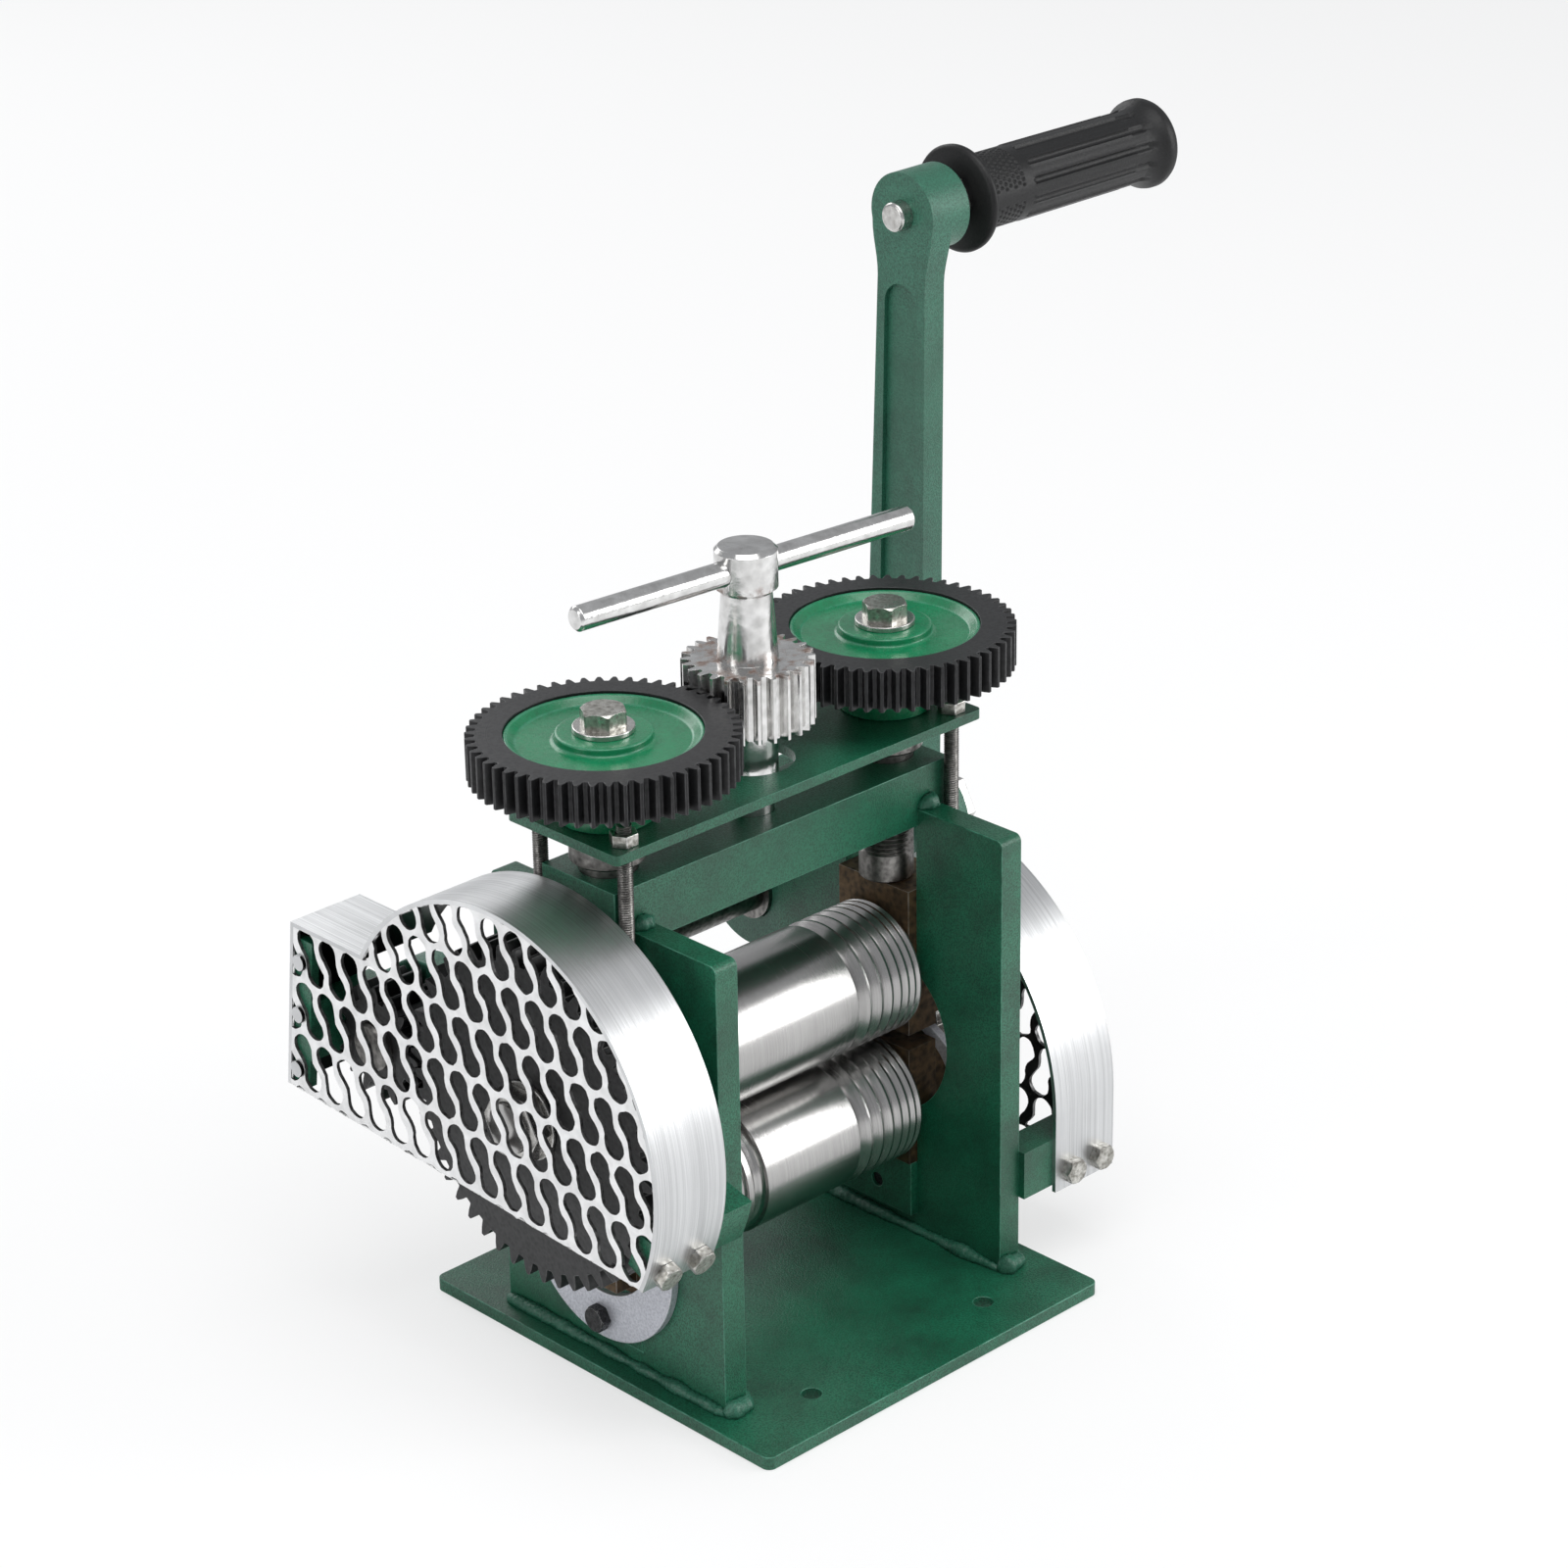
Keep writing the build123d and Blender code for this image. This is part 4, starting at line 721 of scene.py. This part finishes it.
def threadTree():
    # a screw thread on each input point: a grid rolled into a rod whose radius follows the helix
    tree, take, give = nodesTree("threadedRod", [
        ("Radius", "Float", 0.0025), ("Depth", "Float", 0.00045), ("Pitch", "Float", 0.0008),
        ("Length", "Float", 0.078), ("Sides", "Int", 21), ("Rings", "Int", 580),
        ("Finish", "Material", None)])

    def calc(operation, *values):
        return mathNode(tree, operation, *values)

    grid = addNode(tree, "GeometryNodeMeshGrid", {"Size X": 1.0, "Size Y": 1.0,
                   "Vertices X": take["Sides"], "Vertices Y": take["Rings"]}).outputs["Mesh"]
    at = pointPlace(tree)
    around = calc("ADD", at[0], 0.5)
    rise = calc("MULTIPLY", calc("ADD", at[1], 0.5), take["Length"])
    phase = calc("FRACT", calc("SUBTRACT", calc("DIVIDE", rise, take["Pitch"]), around))
    valley = calc("ABSOLUTE", calc("MULTIPLY_ADD", phase, 2.0, -1.0))
    radius = calc("SUBTRACT", take["Radius"], calc("MULTIPLY", take["Depth"], valley))
    angle = calc("MULTIPLY", around, 2 * math.pi)
    rolled = movedTo(tree, grid, combine(tree, calc("MULTIPLY", radius, calc("COSINE", angle)),
                                         calc("MULTIPLY", radius, calc("SINE", angle)), rise))
    closed = addNode(tree, "GeometryNodeMergeByDistance", {"Geometry": rolled, "Distance": 1e-6}).outputs[0]
    placed = addNode(tree, "GeometryNodeInstanceOnPoints",
                     {"Points": take["Geometry"], "Instance": closed}).outputs[0]
    done = addNode(tree, "GeometryNodeSetMaterial",
                   {"Geometry": realized(tree, placed), "Material": take["Finish"]})
    tree.links.new(done.outputs[0], give.inputs[0])
    return tree


sheetTree, rodTree = perforatedTree(), threadTree()
print("geometry-node trees built")


# perforated end sheets of the two guards

# in mm from the roller plane; the left guard is an arc with a box behind it, the right one a tall arch
guardSizes = {
    "face": 108.0, "sheet": 1.2, "band": 1.5,
    "radius": 72.0, "centreY": 1.0, "centreZ": 102.1, "endAngle": 26.9,
    "boxTop": 138.2, "boxBack": 98.0, "boxFootBack": 105.0, "boxFoot": 78.5,
    "rightFront": 57.6, "rightBack": 50.0, "rightFoot": 26.0, "sideRadius": 78.0,
    "crownRadius": 26.8, "crownZ": 101.0,
}


def leftGuardLine(inset):
    g = guardSizes
    slope = (g["boxFootBack"] - g["boxBack"]) / (g["boxTop"] - g["boxFoot"])
    shift = inset * math.hypot(1, slope)
    top = g["boxTop"] - inset
    radius = g["radius"] - inset
    rise = top - g["centreZ"]
    line = [(g["boxFootBack"] - shift, g["boxFoot"]), (g["boxBack"] - shift + slope * inset, top)]
    start, finish = math.asin(rise / radius), math.pi + math.radians(g["endAngle"])
    steps = 60
    for step in range(steps + 1):
        angle = start + (finish - start) * step / steps
        line.append((g["centreY"] + radius * math.cos(angle), g["centreZ"] + radius * math.sin(angle)))
    return line


def rightGuardLine(inset):
    g = guardSizes
    sideSteps, crownSteps = 24, 20

    def sideArc(wall, way):
        # the long arc above a straight wall; way is -1 in front and 1 behind
        centreY = way * (wall - g["sideRadius"])
        gap = g["sideRadius"] - g["crownRadius"]
        centreZ = g["crownZ"] - math.sqrt(gap ** 2 - centreY ** 2)
        last = math.atan2(g["crownZ"] - centreZ, -way * centreY)
        radius = g["sideRadius"] - inset
        turns = [last * k / sideSteps for k in range(sideSteps + 1)]
        return [(centreY + way * radius * math.cos(t), centreZ + radius * math.sin(t)) for t in turns]

    front, back = sideArc(g["rightFront"], -1), sideArc(g["rightBack"], 1)
    crown = g["crownRadius"] - inset
    frontAngle = math.atan2(front[-1][1] - g["crownZ"], front[-1][0])
    backAngle = math.atan2(back[-1][1] - g["crownZ"], back[-1][0])
    line = [(front[0][0], g["rightFoot"])] + front
    for k in range(1, crownSteps):
        turn = frontAngle + (backAngle - frontAngle) * k / crownSteps
        line.append((crown * math.cos(turn), g["crownZ"] + crown * math.sin(turn)))
    return line + back[::-1] + [(back[0][0], g["rightFoot"])]


def slabMesh(name, line, x0, x1):
    mesh = bmesh.new()
    low = [mesh.verts.new(mm(x0, y, z)) for y, z in line]
    high = [mesh.verts.new(mm(x1, y, z)) for y, z in line]
    mesh.faces.new(low)
    mesh.faces.new(high[::-1])
    for k in range(len(line)):
        j = (k + 1) % len(line)
        mesh.faces.new((low[k], high[k], high[j], low[j]))
    bmesh.ops.recalc_face_normals(mesh, faces=mesh.faces)
    data = bpy.data.meshes.new(name)
    mesh.to_mesh(data)
    mesh.free()
    return linkMesh(name, data)


holeSizes = {
    "Row Pitch": 0.01073, "Row Rise": 0.0006, "Column Pitch": 0.0194, "Column Shift": 0.00245,
    "Lobe Radius": 0.0042, "Waist": 0.0027, "Lobe Offset": 0.0057, "Raggedness": 0.0008,
}


def perforatedSheet(name, node, line, side, near, columns, rows, lean, web):
    # side is -1 or 1; near, in mm, is the middle of a hole, on which the grid is centred
    g = guardSizes
    x0, x1 = sorted((side * g["face"], side * (g["face"] - g["sheet"])))
    blank = slabMesh(name, line(g["band"]), x0, x1)
    blank.data.materials.append(web)
    centre = mm((x0 + x1) / 2, near[0], near[1])
    runTree(blank, sheetTree, {**holeSizes, "Columns": columns, "Rows": rows, "Lean": lean,
                               "Grid Centre": tuple(centre), "Cutter Height": cutterHeight,
                               "Web": web, "Cut": guardCut})
    settle(blank, node)


cutterHeight = 0.008
holeLean = 0.387          # radians
# the uppermost hole of the box's back column, and the eight rows from it to the middle of the lattice
cornerHole, rowsToMiddle = (88.7, 128.2), 8
leftMiddle = (cornerHole[0] - rowsToMiddle * holeSizes["Row Pitch"] * 1000,
              cornerHole[1] - rowsToMiddle * holeSizes["Row Rise"] * 1000)
perforatedSheet("leftGuardWeb", "guard_sheet_left", leftGuardLine, -1, leftMiddle, 25, 11, -holeLean,
                guardWeb)
perforatedSheet("rightGuardWeb", "guard_sheet_right", rightGuardLine, 1, (0.0, 90.0), 15, 11, holeLean,
                guardSkinRight)


# torn rim where each sheet meets its band, and along the open foot

rimSides = 7              # corners of the bead's section
rimStep = 0.9             # mm between sections


def tubeFaces(mesh, rings):
    # walls between the rings of vertices, and a cap at each end
    count = len(rings[0])
    for ringA, ringB in zip(rings, rings[1:]):
        for turn in range(count):
            nxt = (turn + 1) % count
            mesh.faces.new((ringA[turn], ringA[nxt], ringB[nxt], ringB[turn]))
    mesh.faces.new(rings[0][::-1])
    mesh.faces.new(rings[-1])


def tornRim(name, line, x, seed):
    # an uneven bead that follows the guard's closed outline
    stops = [Vector((0, y, z)) for y, z in line]
    stops.append(stops[0])
    path = []
    for a, b in zip(stops, stops[1:]):
        steps = max(1, int((b - a).length / rimStep))
        path += [a.lerp(b, k / steps) for k in range(steps)]
    path.append(stops[-1])
    mesh = bmesh.new()
    rings = []
    for k, p in enumerate(path):
        before, after = path[max(0, k - 1)], path[min(len(path) - 1, k + 1)]
        along = (after - before).normalized()
        inward = Vector((0, -along.z, along.y))
        size = 0.45 + 0.9 * max(0.0, noise.noise(p * 0.35 + Vector((seed, 0, 0)))) \
            + 0.35 * noise.noise(p * 1.3 + Vector((seed, 5, 0)))
        size = max(0.22, size)
        ring = []
        for turn in range(rimSides):
            angle = 2 * math.pi * turn / rimSides
            wob = 1 + 0.35 * noise.noise(p * 0.9 + Vector((seed, turn * 1.7, 3)))
            out = math.cos(angle) * size * wob
            over = math.sin(angle) * 0.55 * wob
            q = p + inward * out * 0.9
            ring.append(mesh.verts.new(mm(x + over, q.y, q.z)))
        rings.append(ring)
    tubeFaces(mesh, rings)
    bmesh.ops.recalc_face_normals(mesh, faces=mesh.faces)
    piece = linkMesh(name, smoothMesh(name, mesh))
    mesh.free()
    piece.data.materials.append(tornMetal)
    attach(piece, "frame")


rimInset, rimX = 1.4, 107.3
tornRim("leftGuardRim", leftGuardLine(rimInset), -rimX, 2.0)
tornRim("rightGuardRim", rightGuardLine(rimInset), rimX, 9.0)
print("guards done")


# threaded studs of the lift plate

studSizes = {"x": 70.4, "y": 19.3, "bottom": 118.5, "top": 196.5, "radius": 2.5, "pitch": 0.8,
             "threadDepth": 0.42}
points = bpy.data.meshes.new("liftStudThreads")
points.from_pydata([mm(a * studSizes["x"], b * studSizes["y"], studSizes["bottom"])
                    for a in (-1, 1) for b in (-1, 1)], [], [])
studs = linkMesh("liftStudThreads", points)
runTree(studs, rodTree, {"Radius": studSizes["radius"] / 1000, "Depth": studSizes["threadDepth"] / 1000,
                         "Pitch": studSizes["pitch"] / 1000,
                         "Length": (studSizes["top"] - studSizes["bottom"]) / 1000,
                         "Sides": 17, "Rings": 490, "Finish": darkSteel})


def capHoles(piece):
    mesh = bmesh.new()
    mesh.from_mesh(piece.data)
    bmesh.ops.remove_doubles(mesh, verts=mesh.verts, dist=1e-6)
    bmesh.ops.holes_fill(mesh, edges=[e for e in mesh.edges if len(e.link_faces) == 1], sides=0)
    bmesh.ops.recalc_face_normals(mesh, faces=mesh.faces)
    for face in mesh.faces:
        face.smooth = True
    mesh.to_mesh(piece.data)
    mesh.free()
    piece.data.set_sharp_from_angle(angle=math.radians(50))


capHoles(studs)
settle(studs, "lift_studs")
print("studs done")


# lumpy fillet welds

def weldBead(mesh, start, finish, legA, legB, leg, seed):
    # start and finish are the ends of the root line; legA and legB point along the two joined faces
    a, b = Vector(start), Vector(finish)
    length = (b - a).length
    count = max(8, int(length / 0.8))
    along = (b - a).normalized()
    first, second = Vector(legA), Vector(legB)
    rings = []
    for k in range(count + 1):
        share = k / count
        p = a.lerp(b, share)
        taper = min(1.0, 0.45 + 3.0 * min(share, 1 - share) * length / 12)
        ripple = 0.05 * math.sin(k * 0.8 * 2 * math.pi / 2.4 + 2 * noise.noise(p * 0.1))
        swell = 1 + ripple + 0.45 * noise.noise(p * 0.12 + Vector((seed, 1, 2)))
        ring = [mesh.verts.new(mm(*(p - first * 0.3 - second * 0.3)))]
        for turn in range(7):
            angle = math.pi / 2 * turn / 6
            reach = leg * taper * swell * (0.80 + 0.20 * math.sin(2 * angle))
            reach *= 1 + 0.16 * noise.noise(p * 0.6 + Vector((seed, turn, 7)))
            drift = 0.5 * noise.noise(p * 0.7 + Vector((turn, seed, 0)))
            place = p + first * math.cos(angle) * reach + second * math.sin(angle) * reach + along * drift
            ring.append(mesh.verts.new(mm(*place)))
        rings.append(ring)
    tubeFaces(mesh, rings)


weldSizes = {"inner": 57.5, "outer": 66.5, "front": -53.75, "back": 48.25, "floor": 4.5, "leg": 3.4,
             "plateTop": 159.0, "beamHalf": 16.5, "lugFront": 29.75, "lugFoot": 79.0, "lugTop": 120.0,
             "lugLeg": 2.9}
beads = bmesh.new()
w = weldSizes
seed = 1.0
for side in (-1, 1):
    for wall, way in ((w["inner"], -side), (w["outer"], side)):
        weldBead(beads, (side * wall, w["front"] - 0.5, w["floor"]),
                 (side * wall, w["back"] + 0.5, w["floor"]), (way, 0, 0), (0, 0, 1), w["leg"], seed)
        seed += 11
    # the bead runs round the front edge of the plate and swells there
    weldBead(beads, (side * (w["inner"] - 1.5), w["front"], w["floor"]),
             (side * (w["outer"] + 1.5), w["front"], w["floor"]),
             (0, -1, 0), (0, 0, 1), w["leg"] * 1.25, seed + 5)
    for way in (-1, 1):
        weldBead(beads, (side * (w["inner"] + 0.5), way * w["beamHalf"], w["plateTop"]),
                 (side * (w["outer"] - 0.5), way * w["beamHalf"], w["plateTop"]),
                 (0, way, 0), (0, 0, 1), w["leg"] * 1.3, seed)
        seed += 7
    weldBead(beads, (side * w["outer"], w["lugFront"], w["lugFoot"]),
             (side * w["outer"], w["lugFront"], w["lugTop"]), (side, 0, 0), (0, -1, 0), w["lugLeg"], seed)
bmesh.ops.recalc_face_normals(beads, faces=beads.faces)
settle(linkMesh("weldBeads", smoothMesh("weldBeads", beads)), "weld_beads", castPaint)
beads.free()
print("welds done")


# rubber grip: dimple band, long ribs between flutes, two flanges

gripSizes = {
    "start": 160.4, "length": 95.7, "radius": 13.0, "innerFlange": 18.3, "endFlange": 15.6,
    "bore": 7.05, "dimpleFrom": 7.0, "dimpleTo": 22.0, "dimpleRows": 7, "dimplesAround": 40,
    "fluteFrom": 26.0, "fluteTo": 86.0, "flutes": 12, "fluteDepth": 0.9,
    "centreY": 72.0, "shaftZ": 99.8, "reach": 222.4, "lean": 1.6,
}


def gripCentre():
    g = gripSizes
    lean = math.radians(g["lean"])
    return g["centreY"] - g["reach"] * math.sin(lean), g["shaftZ"] + g["reach"] * math.cos(lean)


def gripMesh(name):
    g = gripSizes
    flange, body, end, length = g["innerFlange"], g["radius"], g["endFlange"], g["length"]
    outline = [(g["bore"], 0.0), (flange - 1.6, 0.0), (flange - 0.5, 0.4), (flange, 1.3),
               (flange - 0.1, 2.4), (flange - 0.9, 3.1), (flange - 2.6, 3.5),
               (body + 1.2, 4.0), (body + 0.35, 4.7), (body, 6.0)]
    x = 6.4
    while x < length - 11.5:
        outline.append((body - 0.3 * (x - 6) / 80, x))
        x += 0.38
    outline += [(body - 0.2, length - 11.2), (body + 0.1, length - 9.5), (body + 0.8, length - 7.4),
                (body + 1.7, length - 5.6), (end - 0.2, length - 4.4), (end, length - 3.4),
                (end, length - 1.6), (end - 0.5, length - 0.5), (end - 1.5, length),
                (end - 3.4, length - 0.15), (6.0, length - 0.1), (0.0, length)]
    around = 192
    cy, cz = gripCentre()
    mesh = bmesh.new()
    rings = []
    for radius, along in outline:
        if radius == 0.0:
            rings.append([mesh.verts.new(mm(g["start"] + along, cy, cz))])
            continue
        ring = []
        for k in range(around):
            angle = 2 * math.pi * k / around
            r = radius
            if 6.0 < along < length - 11.0:
                if g["fluteFrom"] < along < g["fluteTo"]:
                    # a raised lip each side of a narrow groove, rounded at both ends
                    phase = (angle / (2 * math.pi) * g["flutes"]) % 1.0 - 0.5
                    half = 1.25
                    across = phase * 2 * math.pi * radius / g["flutes"]
                    endGap = min(along - g["fluteFrom"], g["fluteTo"] - along)
                    far = math.hypot(across, max(0.0, half - endGap)) / half
                    if far < 1:
                        r -= g["fluteDepth"] * (1 - far ** 2) ** 0.5
                    elif far < 1.7:
                        r += 0.22 * (1.7 - far) / 0.7
                elif g["dimpleFrom"] < along < g["dimpleTo"]:
                    row = (along - g["dimpleFrom"]) / (g["dimpleTo"] - g["dimpleFrom"]) * g["dimpleRows"]
                    spin = angle / (2 * math.pi) * g["dimplesAround"] + (0.5 if int(row) % 2 else 0.0)
                    u, v = row % 1.0 - 0.5, spin % 1.0 - 0.5
                    hollow = max(0.0, 1 - (u * u + v * v) / 0.10)
                    patch = math.cos(3 * angle)            # the band is broken by three plain strips
                    if patch > -0.82:
                        r -= 0.6 * hollow ** 0.5
            y, z = cy + r * math.cos(angle), cz + r * math.sin(angle)
            ring.append(mesh.verts.new(mm(g["start"] + along, y, z)))
        rings.append(ring)
    for ringA, ringB in zip(rings, rings[1:]):
        for k in range(around):
            j = (k + 1) % around
            if len(ringB) == 1:
                mesh.faces.new((ringA[k], ringA[j], ringB[0]))
            else:
                mesh.faces.new((ringA[k], ringA[j], ringB[j], ringB[k]))
    # the bore, closed at its far end
    turns = [2 * math.pi * k / around for k in range(around)]
    inner = [mesh.verts.new(mm(g["start"] + length - 4.0, cy + g["bore"] * math.cos(t),
                               cz + g["bore"] * math.sin(t))) for t in turns]
    for k in range(around):
        j = (k + 1) % around
        mesh.faces.new((inner[k], inner[j], rings[0][j], rings[0][k]))
    mesh.faces.new(inner[::-1])
    bmesh.ops.recalc_face_normals(mesh, faces=mesh.faces)
    data = smoothMesh(name, mesh)
    mesh.free()
    data.set_sharp_from_angle(angle=math.radians(55))
    return linkMesh(name, data)


settle(gripMesh("gripSleeve"), "grip_rubber", rubber)
print("grip done")


# floor

floorHalf, floorDrop = 6, 0.0002          # metres
floorCorners = [(x * floorHalf, y * floorHalf, -floorDrop) for x, y in ((-1, -1), (1, -1), (1, 1), (-1, 1))]
floorMesh = bpy.data.meshes.new("floor")
floorMesh.from_pydata(floorCorners, [], [(0, 1, 2, 3)])
floorMesh.materials.append(floorMaterial)
floor = linkMesh("floor", floorMesh)

world = bpy.data.worlds.new("studio")
scene.world = world
world.use_nodes = True
worldTree = world.node_tree
worldTree.nodes.clear()
worldOut = worldTree.nodes.new("ShaderNodeOutputWorld")
plain = addNode(worldTree, "ShaderNodeBackground", {"Color": (0.95, 0.97, 1.0, 1), "Strength": 0.45})
white = addNode(worldTree, "ShaderNodeBackground", {"Color": (1, 1, 1, 1), "Strength": 1.0})
rays = worldTree.nodes.new("ShaderNodeLightPath")
seen = mathNode(worldTree, "MAXIMUM", rays.outputs["Is Camera Ray"], rays.outputs["Is Transmission Ray"])
pick = addNode(worldTree, "ShaderNodeMixShader", {0: seen, 1: plain.outputs[0], 2: white.outputs[0]})
worldTree.links.new(pick.outputs[0], worldOut.inputs[0])

print("pieces placed")
